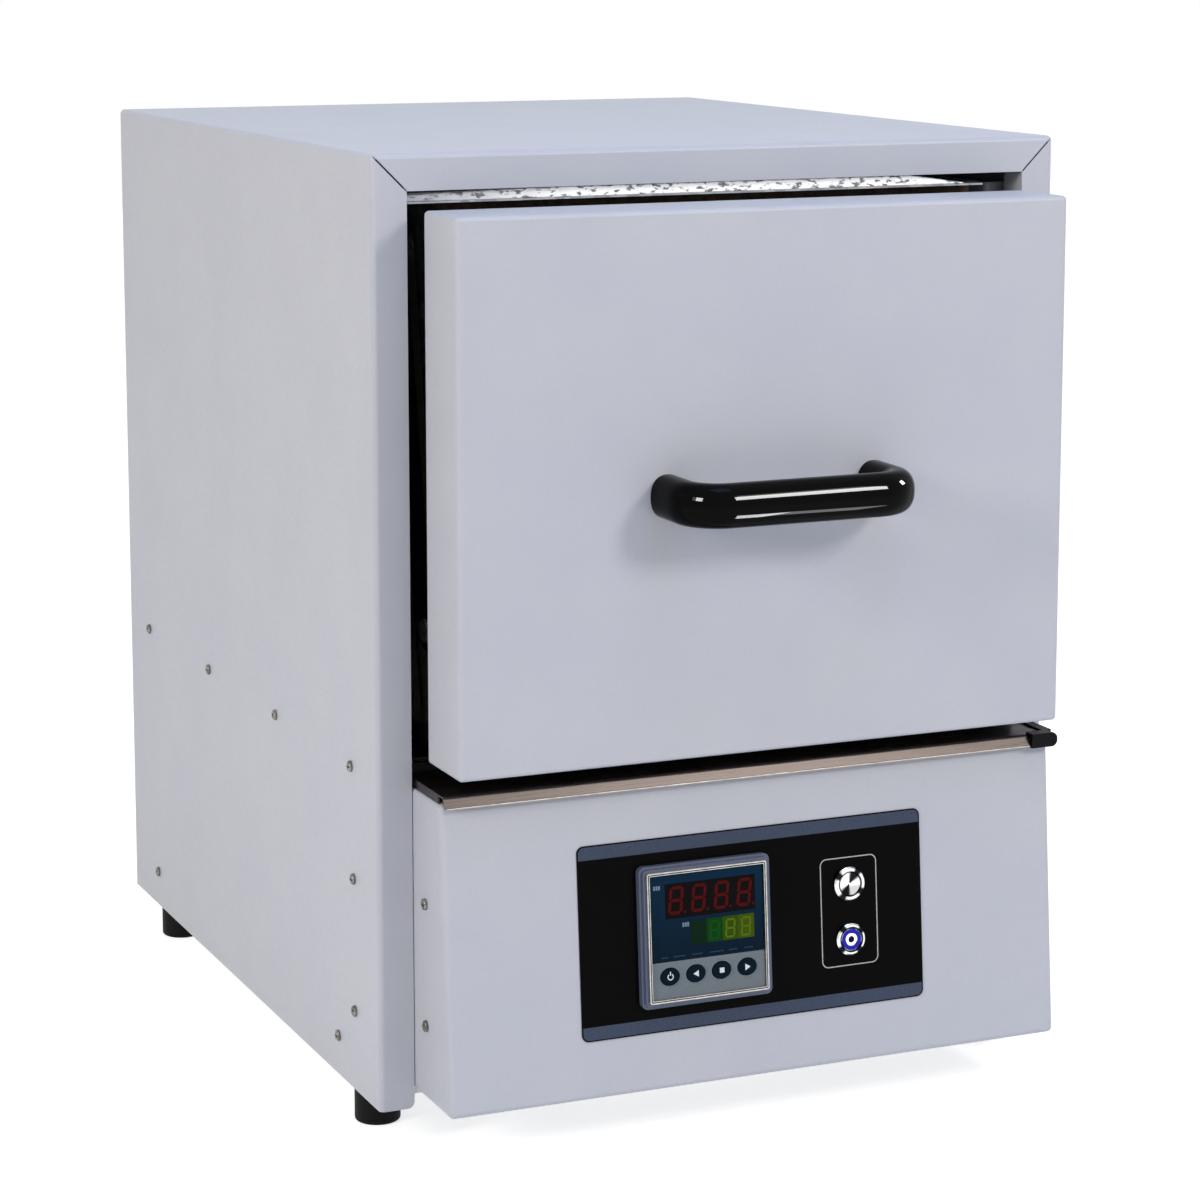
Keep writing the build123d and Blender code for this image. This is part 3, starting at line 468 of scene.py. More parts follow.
def build(name, grids, finish, body="root", smooth_below=35.0):
    """One mesh from grids of shape (rows, columns, 3), closed along the columns."""
    points, faces, start = [], [], 0
    for grid in grids:
        rows, columns = grid.shape[:2]
        number = np.arange(rows * columns).reshape(rows, columns) + start
        beside = np.roll(number, -1, axis=1)
        quads = np.stack([number[:-1], beside[:-1], beside[1:], number[1:]], axis=-1)
        points.append(grid.reshape(-1, 3))
        faces.append(quads.reshape(-1, 4))
        start += rows * columns
    mesh = bpy.data.meshes.new(name)
    mesh.from_pydata(np.concatenate(points), [], np.concatenate(faces).tolist())
    weld(mesh)
    mesh.polygons.foreach_set("use_smooth", np.ones(len(mesh.polygons), bool))
    mesh.set_sharp_from_angle(angle=math.radians(smooth_below))
    piece = bpy.data.objects.new(name, mesh)
    bpy.context.collection.objects.link(piece)
    piece.data.materials.append(FINISHES[finish])
    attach(piece, body)
    print(name, "on", body, "with", len(mesh.polygons), "faces")
    return piece


def weld(mesh, distance=1e-6):
    """Merge doubled points at poles and seams, then turn all faces outwards."""
    work = bmesh.new()
    work.from_mesh(mesh)
    bmesh.ops.remove_doubles(work, verts=work.verts, dist=distance)
    bmesh.ops.dissolve_degenerate(work, edges=work.edges, dist=distance)
    bmesh.ops.recalc_face_normals(work, faces=work.faces)
    work.to_mesh(mesh)
    work.free()


def capped(skin):
    """A tube's rows with its ends closed: one more row at each end, drawn to the end's middle."""
    ends = skin[[0, -1]].mean(axis=1, keepdims=True).repeat(skin.shape[1], axis=1)
    return np.concatenate([ends[:1], skin, ends[1:]])


print("mesh builder ready")

# %% [markdown]
# ## Screws
# Ten pan-head screws hold each side, and ten more the back, each with a cross recess pressed into
# its dome. A head is a height over a disc, a function of radius and angle: the dome falls away to
# the rim, and drops by the recess within two crossed arms. Hand-driven screws are all turned
# differently, and so are these.

# %% Screw heads
HEAD_R = 3.2 * MM
HEAD_H = 2.0 * MM
RECESS_ARM = 2.0 * MM           # from the middle to the end of an arm
RECESS_HALF = 0.42 * MM         # half an arm's width
RECESS_DEEP = 1.1 * MM
RECESS_EDGE = 0.25              # slope of its walls, as a share of an arm's half width


def head_grid(turn, rows=26, columns=48):
    """(rows, columns, 3) of one head: radius and angle give the height over the sheet.

    The dome is the head's height times the fourth root of one minus the fourth power of the
    relative radius. Inside the crossed arms the recess is taken off it.
    """
    radius = HEAD_R * np.sin(np.linspace(0, np.pi / 2, rows))[:, None]
    angle = full_turn(columns)[None, :]
    across = radius * np.cos(angle + turn)
    along = radius * np.sin(angle + turn)
    dome = HEAD_H * (1 - (radius / HEAD_R) ** 4) ** 0.25 + 0 * angle
    arm_a = np.maximum(np.abs(across) / RECESS_HALF, np.abs(along) / RECESS_ARM)
    arm_b = np.maximum(np.abs(along) / RECESS_HALF, np.abs(across) / RECESS_ARM)
    inside = np.clip((1 + RECESS_EDGE - np.minimum(arm_a, arm_b)) / RECESS_EDGE, 0, 1)
    height = dome - RECESS_DEEP * inside * (1 - 0.5 * radius / RECESS_ARM).clip(0)
    head = np.stack([radius * np.cos(angle), radius * np.sin(angle), height], axis=-1)
    base = np.zeros((1, angle.size, 3))
    return np.concatenate([head, base])


def stand_on(grid, point, axis):
    """Carry a shape drawn upright to a point, with its height along axis."""
    axis = np.array(axis, float)
    first = np.cross(axis, (0.0, 0.0, 1.0) if abs(axis[2]) < 0.9 else (1.0, 0.0, 0.0))
    first /= np.linalg.norm(first)
    second = np.cross(axis, first)
    return np.array(point) + grid[..., :1] * first + grid[..., 1:2] * second + grid[..., 2:3] * axis


CASE = corners("outer_casing")
HOUSING = corners("control_housing")
FRONT_Y, CASE_FLOOR = CASE[:, 1].min(), CASE[:, 2].min()
SHELF = [((43 + 134 * step) * MM, 185.5 * MM) for step in range(4)]    # (behind front, over floor)
UPRIGHT = [(40 * MM, 122 * MM), (40 * MM, 46 * MM)]
PAN = [(69 * MM, 23 * MM), (435 * MM, 23 * MM)]
ON_HOUSING = [(-18.5 * MM, 121 * MM), (-18.5 * MM, 52.5 * MM)]
TURN_STEP = 0.77


def side_heads(side):
    """The ten heads of one side: eight on the casing and two on the control housing."""
    places = [(CASE[:, 0].max(), y, z) for y, z in SHELF + UPRIGHT + PAN]
    places += [(HOUSING[:, 0].max(), y, z) for y, z in ON_HOUSING]
    heads = []
    for count, (x, y, z) in enumerate(places):
        point = (side * x, FRONT_Y + y, CASE_FLOOR + z)
        heads.append(stand_on(head_grid(TURN_STEP * count * side), point, (side, 0, 0)))
    return heads


for side, word in ((1, "right"), (-1, "left")):
    screws = build(f"cross_head_screws_{word}", side_heads(side), "screw_steel")
    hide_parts(f"side_screws_{word}")

# %% Screws of the back panel
BACK_Y = corners("back_panel")[:, 1].max()
BACK_X = CASE[:, 0].max() - 15 * MM
BACK_LEVELS = [46, 150, 262, 374, 505]
BACK_PLACES = [(side * BACK_X, BACK_Y, CASE_FLOOR + z * MM) for side in (-1, 1) for z in BACK_LEVELS]
heads = [stand_on(head_grid(TURN_STEP * count), point, (0, 1, 0)) for count, point in enumerate(BACK_PLACES)]
screws = build("cross_head_screws_back", heads, "screw_steel")
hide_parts("back_panel_screws")

# %% [markdown]
# ## Heating wire
# Iron-chromium wire is wound into close coils that lie in the grooves of the heater plates. The
# frame holds each coil as a plain bar, and here it becomes real windings. The wire's middle runs
# round the groove's axis once a pitch, and its skin stands off by the wire's radius.

# %% Wound coils
WIRE_R = 0.75 * MM
BAR_R = 5.0 * MM
COIL_PITCH = 4.2 * MM
COIL_R = BAR_R - WIRE_R - 0.15 * MM
COILS_A_SIDE = 5
COIL_SHORT = 2 * MM             # how far a coil ends before its bar
STEPS_A_TURN = 12
COILS = corners("heater_coils")
COIL_X = COILS[:, 0].max() - BAR_R
COIL_LEVELS = np.linspace(COILS[:, 2].min() + BAR_R, COILS[:, 2].max() - BAR_R, COILS_A_SIDE)
COIL_START, COIL_END = COILS[:, 1].min() + COIL_SHORT, COILS[:, 1].max() - COIL_SHORT


def coil_grid(x, z, around=6):
    """Tube round a helix along y: middle (r cos t, y, r sin t), skin offset by the wire's radius."""
    turns = (COIL_END - COIL_START) / COIL_PITCH
    angle = np.linspace(0, 2 * np.pi * turns, int(turns * STEPS_A_TURN))[:, None]
    round_wire = full_turn(around)[None, :]
    outward = COIL_R + WIRE_R * np.cos(round_wire)
    along = COIL_START + COIL_PITCH * angle / (2 * np.pi) + WIRE_R * np.sin(round_wire)
    return capped(np.stack([x + outward * np.cos(angle), along, z + outward * np.sin(angle)], axis=-1))


windings = [coil_grid(side * COIL_X, z) for side in (-1, 1) for z in COIL_LEVELS]
coils = build("wound_coils", windings, "heating_wire", smooth_below=80)
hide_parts("heater_coils")

# %% [markdown]
# ## The bow handle
# The handle is one moulding: a plump section that leaves the door square, turns along it through
# two quarter bends and comes back. The section is a superellipse, flatter in front than an ellipse,
# so a lamp draws one long clean line along it. The section is carried along the bow's middle line.

# %% Handle
GRIP = corners("door_handle")
GRIP_LOW, GRIP_HIGH = GRIP.min(0), GRIP.max(0)
HALF_DEEP, HALF_TALL = 10 * MM, (GRIP_HIGH[2] - GRIP_LOW[2]) / 2
BEND_R = 18 * MM
ROUNDNESS = 2.3                 # 2 would be an ellipse, more is squarer


def bow_path(foot_rows=4, bend_rows=15):
    """Middle line of the bow seen from above, with its outward side: foot, bend, grip, bend, foot."""
    reach = GRIP_HIGH[0] - HALF_DEEP
    front, back = GRIP_LOW[1] + HALF_DEEP, GRIP_HIGH[1]
    turn = np.linspace(0, np.pi / 2, bend_rows)
    foot = np.column_stack([np.full(foot_rows, reach), np.linspace(back, front + BEND_R, foot_rows)])
    foot_side = np.tile([1.0, 0.0], (foot_rows, 1))
    bend_side = np.column_stack([np.cos(turn), -np.sin(turn)])
    bend = np.array([reach - BEND_R, front + BEND_R]) + BEND_R * bend_side
    right = np.concatenate([foot[:-1], bend])
    side = np.concatenate([foot_side[:-1], bend_side])
    mirror = np.array([-1.0, 1.0])
    return np.concatenate([right, right[::-1] * mirror]), np.concatenate([side, side[::-1] * mirror])


def bow_grid(steps=56):
    """Skin: path + side * a |cos t|^(2/n) + up * b |sin t|^(2/n), signs kept, n the roundness."""
    middle, side = bow_path()
    angle = full_turn(steps)
    wide = HALF_DEEP * np.sign(np.cos(angle)) * np.abs(np.cos(angle)) ** (2 / ROUNDNESS)
    tall = HALF_TALL * np.sign(np.sin(angle)) * np.abs(np.sin(angle)) ** (2 / ROUNDNESS)
    flat = middle[:, None, :] + wide[None, :, None] * side[:, None, :]
    level = np.broadcast_to((GRIP_LOW[2] + GRIP_HIGH[2]) / 2 + tall, flat.shape[:2])
    return capped(np.concatenate([flat, level[..., None]], axis=-1))


bow = build("bow_handle", [bow_grid()], "black_gloss", "door", smooth_below=50)
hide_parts("door_handle")

# %% [markdown]
# ## Fibre blanket over the inner case
# A thin blanket of ceramic fibre lies on the inner case, and its cut front edge shows as a white,
# wrinkled strip in the gap over the door. It is a soft slab: its thickness is a function of the
# place along the edge, thinner where it is tucked in on the left and falling to almost nothing on
# the right. The wool is white; shade is painted dark into its sparse wrinkles and grey over its left end.

# %% Fibre blanket
INNER = corners("inner_case")
BLANKET_FRONT = INNER[:, 1].min() + 2 * MM
BLANKET_FLOOR = INNER[:, 2].max() + 0.1 * MM
BLANKET_LEFT, BLANKET_RIGHT = INNER[:, 0].min() + 0.5 * MM, INNER[:, 0].max() - 11 * MM
BLANKET_DEEP = 300              # mm
BLANKET_T = 5.3 * MM
LEFT_SHARE, LEFT_RUN = 0.68, 270 * MM       # thickness at the left end, and how slowly it grows
RIGHT_SHARE, RIGHT_RUN = 0.08, 38 * MM
WRINKLE = 0.35 * MM
SOFT_EDGE = 5 * MM              # only this near its front does the blanket wrinkle
FOLD = 2.6 * MM
# where the painted shade of the left end begins and where it is full, as x in metres
LEFT_SHADE_START, LEFT_SHADE_END = -0.09, -0.19


def blanket_grid(steps=240):
    """Slab along x: its section is a rounded strip, its front and top wander by the wrinkle."""
    rng = np.random.default_rng(4)
    x = np.linspace(BLANKET_LEFT, BLANKET_RIGHT, steps)
    rising = np.clip(LEFT_SHARE + (x - x[0]) / LEFT_RUN, 0, 1)
    falling = np.clip(RIGHT_SHARE + (x[-1] - x) / RIGHT_RUN, 0, 1)
    thick = BLANKET_T * rising * falling
    ups = np.array([0.0, 0.15, 0.4, 0.65, 0.85, 1.0, 1.0, 1.0, 0.5, 0.0])
    backs = np.array([0.6, 0.1, 0.0, 0.0, 0.15, 1.0, 20.0] + 3 * [BLANKET_DEEP]) * MM
    wander = rng.normal(0, 1, (steps, ups.size)) * WRINKLE * (backs < SOFT_EDGE)
    wander[:, 0] = 0
    across = BLANKET_FRONT + backs + np.abs(wander)
    level = BLANKET_FLOOR + thick[:, None] * ups - 0.4 * np.abs(wander) * (ups == 1)
    return capped(np.stack([np.broadcast_to(x[:, None], level.shape), across, level], axis=-1))


def fibre_wool():
    """Needled ceramic fibre: chalk white, with painted shade in sparse wrinkles along the cut edge and over the
    left end.
    """
    tree, shader, place = new_material("fibre_wool", "#fbfbfb", 0.0, 0.95, IOR=1.5)
    folds_and_crease_shade = grain(tree, place, FOLD, 5.0, stretch=(0.6, 1, 1.4))
    across = add(tree, "ShaderNodeSeparateXYZ", {0: place}).outputs["X"]
    # painted shade: the left end turns bluish grey
    white_with_left_shade = mix_colours(tree, carry(tree, across, LEFT_SHADE_START, LEFT_SHADE_END), "#fbfbfb", "#9b9da8")
    # painted shade: dark grey in the creases of the wrinkles
    feed(tree, shader, Base_Color=mix_colours(tree, carry(tree, folds_and_crease_shade, 0.54, 0.62), white_with_left_shade, "#6f7174"))
    rough_surface(tree, shader, folds_and_crease_shade, 0.3 * MM)


fibre_wool()
blanket = build("fibre_blanket", [blanket_grid()], "fibre_wool", smooth_below=30)

# %% [markdown]
# ## Gasket and edge of the drip tray
# A round woven gasket closes the slot between the tray and the plate behind it, so no hot air gets
# to the electronics. Its skin is a tube whose radius swells along four strands that wind round it.
# The edge of the tray's lip is rolled over, and this thin bead catches the light.

# %% Woven gasket and rolled edge
TRAY = corners("heat_shield_tray")
TRAY_TOP, LIP_FRONT, LIP_LOW = TRAY[:, 2].max(), TRAY[:, 1].min(), TRAY[:, 2].min()
PLATE_FRONT = corners("partition_plate")[:, 1].min()
GASKET_R, GASKET_SWELL, GASKET_TWIST = 3.3 * MM, 0.30 * MM, 12 * MM
GASKET_HALF = 184 * MM
GASKET_STRANDS = 4
BEAD_R = 0.5 * MM
BEAD_START, BEAD_END = TRAY[:, 0].min() + 1 * MM, 172 * MM


def rod(x0, x1, y, z, radius, swell=0.0, twist=1.0, steps=2, around=24):
    """Tube along x: its radius grows by swell times the sine of strands times angle plus x in twists."""
    x = np.linspace(x0, x1, steps)[:, None]
    angle = full_turn(around)[None, :]
    reach = radius + swell * np.sin(GASKET_STRANDS * angle + 2 * np.pi * x / twist)
    return capped(np.stack([x + 0 * angle, y + reach * np.cos(angle), z + reach * np.sin(angle)], axis=-1))


pitted("gasket_black", "#131210", "#070706", 1.0 * MM, 0.2 * MM, 0.90)
plated("bead_steel", "#b3aca4", "#9f9890", 0.30)
gasket_y, gasket_z = (PLATE_FRONT + TRAY[:, 1].max()) / 2, TRAY_TOP + 0.4 * MM
gasket = rod(-GASKET_HALF, GASKET_HALF, gasket_y, gasket_z, GASKET_R, GASKET_SWELL, GASKET_TWIST, steps=600)
build("slot_gasket", [gasket], "gasket_black", smooth_below=80)
bead = rod(BEAD_START, BEAD_END, LIP_FRONT + 0.2 * MM, LIP_LOW + 0.3 * MM, BEAD_R)
build("tray_bead", [bead], "bead_steel", smooth_below=80)

# %% [markdown]
# ## Flat pieces on the face
# Printed bands, digits and signs are thin plates. A plate is its outline drawn at the front and at
# the back, with each side closed to a middle point. A line that frames something is a ring between
# two outlines. Outlines come from corner radii and angles.

# %% Plates and rings
INK = 0.08 * MM                 # how deep a printed or lit piece reaches into its ground
WEAVE = 0.6 * MM
INK_DARKER = 0.85               # a colour's share in the dark of the mesh


def layers(rows):
    """Grid on the face from rows of an outline and its distance out."""
    return on_face(np.stack([np.column_stack([line, np.full(len(line), out)]) for line, out in rows]))


def plate(outline, low, high):
    """Closed plate over a convex outline: front middle, front rim, back rim, back middle."""
    middle = np.broadcast_to(outline.mean(axis=0), outline.shape)
    return layers([(middle, high), (outline, high), (outline, low), (middle, low)])


def ring(outer, inner, low, high):
    """Closed ring between two outlines with the same number of points."""
    return layers([(inner, low), (inner, high), (outer, high), (outer, low), (inner, low)])


def rounded(centre, width, height, radii, steps=8):
    """Rectangle with four corner radii, anticlockwise from the lower right corner."""
    line = []
    signs = ((1, -1), (1, 1), (-1, 1), (-1, -1))
    for (sx, sy), radius, start in zip(signs, radii, (-90, 0, 90, 180)):
        angle = np.radians(np.linspace(start, start + 90, steps))
        x = sx * (width / 2 - radius) + radius * np.cos(angle)
        y = sy * (height / 2 - radius) + radius * np.sin(angle)
        line.append(np.column_stack([x, y]))
    return np.concatenate(line) + np.array(centre)


def oval(centre, half_width, half_height, steps=48):
    """Ellipse from its two half axes."""
    angle = full_turn(steps)
    return np.column_stack([half_width * np.cos(angle), half_height * np.sin(angle)]) + np.array(centre)


def print_ink(name, hex_colour, roughness, glow=0.0):
    """Screen-printed ink, or a lit plastic where glow is over 0; the screen's mesh shows faintly."""
    tree, shader, place = new_material(
        name, hex_colour, 0.0, roughness, IOR=1.5, Specular_IOR_Level=0.05,
        Emission_Color=linear(hex_colour), Emission_Strength=glow)
    darker = "#" + "".join(f"{int(int(hex_colour[i:i + 2], 16) * INK_DARKER):02x}" for i in (1, 3, 5))
    feed(tree, shader, Base_Color=blend(tree, grain(tree, place, WEAVE), hex_colour, darker))


print("plates ready")

# %% [markdown]
# ## Print on the panel and the groove in the trim
# Two blue-grey bands and a fine outline round the buttons are screen-printed on the film. On the
# controller's bright trim a narrow dark ring is painted as the shade inside a groove.

# %% Bands and outline of the film panel
FILM_W, FILM_H = face_size("panel_overlay")
BORDER, BAND = 0.7 * MM, 7.2 * MM
BAND_R, SHARP_R = 3.4 * MM, 0.01 * MM
BUTTON_MID = (face_centre("power_button_bezel") + face_centre("start_button_bezel")) / 2
OUTLINE_W, OUTLINE_H, OUTLINE_R, OUTLINE_LINE = 35.5 * MM, 62 * MM, 4 * MM, 0.6 * MM

print_ink("band_ink", "#4a5366", 0.40)
print_ink("line_ink", "#c4c4c4", 0.35)
film_top = proud("panel_overlay")


def band(side):
    """Blue-grey band along the film's upper or lower edge, its outer corners rounded."""
    middle = (0, side * (FILM_H / 2 - BORDER - BAND / 2))
    radii = (0, BAND_R, BAND_R, 0) if side > 0 else (BAND_R, 0, 0, BAND_R)
    line = rounded(middle, FILM_W - 2 * BORDER, BAND, [max(radius, SHARP_R) for radius in radii])
    return plate(line, film_top - INK, film_top + INK / 2)


build("panel_bands", [band(1), band(-1)], "band_ink")
outer = rounded(BUTTON_MID, OUTLINE_W, OUTLINE_H, [OUTLINE_R] * 4)
inner = rounded(BUTTON_MID, OUTLINE_W - 2 * OUTLINE_LINE, OUTLINE_H - 2 * OUTLINE_LINE,
                [OUTLINE_R - OUTLINE_LINE] * 4)
build("button_outline", [ring(outer, inner, film_top - INK, film_top + INK / 2)], "line_ink")

# %% Painted shade of a groove in the bright trim
TRIM_IN, GROOVE = WINDOW / 2 + 0.40 * MM, 0.55 * MM
trim_top = proud("controller_trim")


def square(half, radius):
    """Rounded square round the controller's middle."""
    return rounded(TRIM_MID, 2 * half, 2 * half, [radius] * 4)


# painted shade: a dark ring drawn where a groove in the trim would lie in shade
print_ink("painted_groove_shade", "#2b2927", 0.40)
groove_out, groove_in = square(TRIM_IN + GROOVE, 0.8 * MM), square(TRIM_IN, 0.4 * MM)
groove = ring(groove_out, groove_in, trim_top - INK, trim_top + 0.02 * MM)
build("painted_trim_groove_shade", [groove], "painted_groove_shade")

# %% [markdown]
# ## Digits
# A seven-segment digit is seven six-sided bars. Each bar runs between two points and tapers at
# both ends, and the digit leans to the right. An unlit segment of the lower display is dim green
# with a painted faint glow. The digits lie on dark glass: one pane above, and four cells below
# with a painted faint glow that turns from teal to olive under the lit digits.

# %% Places in the window and shapes of digits
foil_top = proud("controller_front")
WINDOW_CORNER = TRIM_MID + np.array([-WINDOW / 2, WINDOW / 2])
BOX_R = 0.15 * MM


def in_window(u, v):
    """A place given in mm to the right of and below the window's upper left corner."""
    return WINDOW_CORNER + np.array([u, -v]) * MM


def box_plate(u0, u1, v0, v1, out):
    """Rectangular plate between two corners of the window, standing out from the foil."""
    centre = (in_window(u0, v0) + in_window(u1, v1)) / 2
    outline = rounded(centre, (u1 - u0) * MM, (v1 - v0) * MM, [BOX_R] * 4, 2)
    return plate(outline, foil_top - INK, foil_top + out)


def segments(corner, width, height, thick, lean):
    """(7, 6, 2) outlines of a digit's bars; corner is its lower left."""
    half, gap = thick / 2, thick * 0.12
    left, right, low, middle, high = half, width - half, half, height / 2, height - half
    ends = np.array([
        [(left, high), (right, high)], [(left, middle), (right, middle)], [(left, low), (right, low)],
        [(left, low), (left, middle)], [(left, middle), (left, high)],
        [(right, low), (right, middle)], [(right, middle), (right, high)],
    ])
    along = ends[:, 1] - ends[:, 0]
    along /= np.linalg.norm(along, axis=1, keepdims=True)
    across = along[:, ::-1] * np.array([-1, 1])
    first, last = ends[:, 0] + gap * along, ends[:, 1] - gap * along
    bars = np.stack([
        first, first + half * (along - across), last - half * (along + across),
        last, last + half * (across - along), first + half * (along + across),
    ], axis=1)
    bars[..., 0] += lean * bars[..., 1] / height
    return bars + np.array(corner)


print("window's corner", WINDOW_CORNER)

# %% Dark glass
UPPER_GLASS = (9.4, 64.0, 5.4, 24.9)        # left, right, top and foot in mm
CELL_LEFT, CELL_WIDE, CELL_TOP, CELL_FOOT = 24.6, 9.6, 27.1, 40.4
CELL_GLOW_TONES = ("#04200f", "#063c0a", "#304a05", "#3e5204")
GLASS_OUT, DIGIT_OUT = 0.05 * MM, 0.12 * MM

print_ink("display_black", "#070304", 0.25)
build("upper_display", [box_plate(*UPPER_GLASS, GLASS_OUT)], "display_black")
for cell, tone in enumerate(CELL_GLOW_TONES):
    # painted light: each cell glows faintly, olive under the lit digits
    print_ink(f"painted_glow_cell_{cell}", tone, 0.30, glow=0.12)
    u = CELL_LEFT + CELL_WIDE * cell
    pane = box_plate(u, u + CELL_WIDE, CELL_TOP, CELL_FOOT, GLASS_OUT)
    build(f"lower_display_cell_{cell + 1}", [pane], f"painted_glow_cell_{cell}")

# %% Digits
UPPER_DIGIT = {"width": 8.6 * MM, "height": 15.6 * MM, "thick": 1.7 * MM, "lean": 1.7 * MM}
LOWER_DIGIT = {"width": 6.0 * MM, "height": 10.6 * MM, "thick": 1.0 * MM, "lean": 0.6 * MM}
UPPER_U, UPPER_V, UPPER_PITCH = 10.8, 22.6, 13.8        # lower left corner and pitch in mm
LOWER_U, LOWER_V = 25.9, 39.2
POINT_U, POINT_V = 10.4, 0.9                            # decimal point from that corner
POINT_R = 0.75 * MM

print_ink("red_segment", "#4e0606", 0.30, glow=0.12)
print_ink("green_segment", "#56700f", 0.30, glow=0.10)
# painted glow: an unlit segment glows faintly
print_ink("unlit_segment_painted_glow", "#0a4d14", 0.30, glow=0.10)


def digit(u, v, shape):
    """The seven bars of a digit whose lower left corner is at (u, v)."""
    return [plate(bar, foil_top, foil_top + DIGIT_OUT) for bar in segments(in_window(u, v), **shape)]


red = []
for u in UPPER_U + UPPER_PITCH * np.arange(4):
    point = oval(in_window(u + POINT_U, UPPER_V - POINT_V), POINT_R, POINT_R, 16)
    red += digit(u, UPPER_V, UPPER_DIGIT) + [plate(point, foil_top, foil_top + DIGIT_OUT)]
build("upper_digits", red, "red_segment")
for finish, places in (("unlit_segment_painted_glow", (1,)), ("green_segment", (2, 3))):
    green = [bar for count in places for bar in digit(LOWER_U + CELL_WIDE * count, LOWER_V, LOWER_DIGIT)]
    build(f"lower_digits_{finish}", green, finish)

# %% [markdown]
# ## Small marks and keys
# Two tiny tags stand beside the displays, and a row of fine marks runs over the strip. Each key
# lies in a pale oval line. The white signs are printed on the keys and sink with them: a broken
# ring with a bar, a triangle to the left, a square and a triangle to the right.

# %% Tags and marks
TAG_PLACES = ((2.6, 5.8), (19.5, 27.7))
TAG_PITCH, TAG_WIDE, TAG_TALL = 1.45, 1.05, 2.4
MARK_GROUPS = ((6.5, 4), (13.6, 7), (25.0, 6), (35.6, 8), (47.2, 5), (56.8, 5))     # start, number
MARK_PITCH, MARK_WIDE, MARK_TOP, MARK_FOOT = 1.05, 0.7, 45.6, 46.4
MARK_OUT = 0.04 * MM

print_ink("pale_ink", "#7d909e", 0.40)
print_ink("faint_ink", "#2e4c63", 0.40)
tags = []
for left, v in TAG_PLACES:
    for u in left + TAG_PITCH * np.arange(3):
        tags.append(box_plate(u, u + TAG_WIDE, v, v + TAG_TALL, MARK_OUT))
build("display_tags", tags, "pale_ink")
marks = []
for left, number in MARK_GROUPS:
    for u in left + MARK_PITCH * np.arange(number):
        marks.append(box_plate(u, u + MARK_WIDE, MARK_TOP, MARK_FOOT, MARK_OUT))
build("display_marks", marks, "faint_ink")

# %% Key ovals and key signs
KEYS = ("power", "left", "stop", "right")
SIGN = 1.9 * MM
RING_FROM, RING_TO = 122, 418       # degrees, so the power sign's ring is open at the top
OVAL_FROM, OVAL_TO = -0.50 * MM, -0.05 * MM     # the line's edges, measured from the key's own edge
key_half = face_size("key_power") / 2

print_ink("white_ink", "#eef0f2", 0.35)
rings = []
for key in KEYS:
    middle = face_centre(f"key_{key}")
    outer, inner = oval(middle, *(key_half + OVAL_TO)), oval(middle, *(key_half + OVAL_FROM))
    rings.append(ring(outer, inner, foil_top - INK, foil_top + GLASS_OUT))
build("key_ovals", rings, "pale_ink")


def arc_ring(centre, outer, inner, start, end, low, high, steps=28):
    """Part of a ring between two angles, as a bar bent round the centre."""
    angle = np.radians(np.linspace(start, end, steps))
    direction = np.column_stack([np.cos(angle), np.sin(angle)])
    section = [(inner, low), (inner, high), (outer, high), (outer, low)]
    lines = layers([(np.array(centre) + radius * direction, out) for radius, out in section])
    return capped(lines.swapaxes(0, 1))


def key_sign(key):
    """The grids of one key's sign, standing on the key's front."""
    centre = face_centre(f"key_{key}")
    low, high = proud(f"key_{key}") - INK, proud(f"key_{key}") + INK / 2
    if key == "power":
        bar = rounded(centre + np.array([0, 0.95 * SIGN]), 0.32 * SIGN, 1.1 * SIGN, [0.05 * MM] * 4, 2)
        open_ring = arc_ring(centre, SIGN, 0.68 * SIGN, RING_FROM, RING_TO, low, high)
        return [open_ring, plate(bar, low, high)]
    if key == "stop":
        return [plate(rounded(centre, 1.5 * SIGN, 1.5 * SIGN, [0.1 * MM] * 4, 2), low, high)]
    way = 1 if key == "right" else -1
    tip = np.array([[way * 0.95, 0], [-way * 0.75, 1.0], [-way * 0.75, -1.0]]) * SIGN
    return [plate(centre + tip, low, high)]


for key in KEYS:
    build(f"sign_{key}", key_sign(key), "white_ink", f"{key}_key")

# %% [markdown]
# ## Push-buttons
# Both are brass push-buttons, turned on a lathe and chromed. The fine rings that the tool leaves
# would mirror lamps as bright and dark wedges round the axis. White surroundings hold nothing to
# mirror, so the wedges are a painted reflection in the colour: the sine of the angle round the axis
# picks bright or dark.

# %% Chrome with painted wedges of reflection
FAN_DARK, FAN_BRIGHT = -0.75, -0.25     # the sine under which it is dark, and over which bright


def chrome_with_painted_wedges(node, fans, phase):
    """Chromed turned brass, with the bright and dark wedges that its fine rings would mirror painted into its
    colour.
    """
    finish = f"{node}_chrome"
    tree, shader, place = new_material(finish, "#cfcfcd", 1.0, 0.10)
    centre = on_face(np.array([*face_centre(node), 0.0]))
    sides = [distance_along(tree, place, centre, axis) for axis in (UP, RIGHT)]
    turns = work_out(tree, "MULTIPLY_ADD", work_out(tree, "ARCTAN2", *sides), fans, phase)
    # painted reflection: bright and dark wedges by the angle round the axis
    bright = carry(tree, work_out(tree, "SINE", turns), FAN_DARK, FAN_BRIGHT)
    feed(tree, shader, Base_Color=mix_colours(tree, bright, "#1a1a1c", "#dcdcd9"))
    finish_node(node, finish)


chrome_with_painted_wedges("power_button_bezel", 4.0, 0.9)
chrome_with_painted_wedges("start_button_bezel", 4.0, 2.0)
chrome_with_painted_wedges("power_button_cap", 2.0, 2.6)
chrome_with_painted_wedges("start_button_cap", 3.0, 0.4)
print("chrome on both bezels and caps")

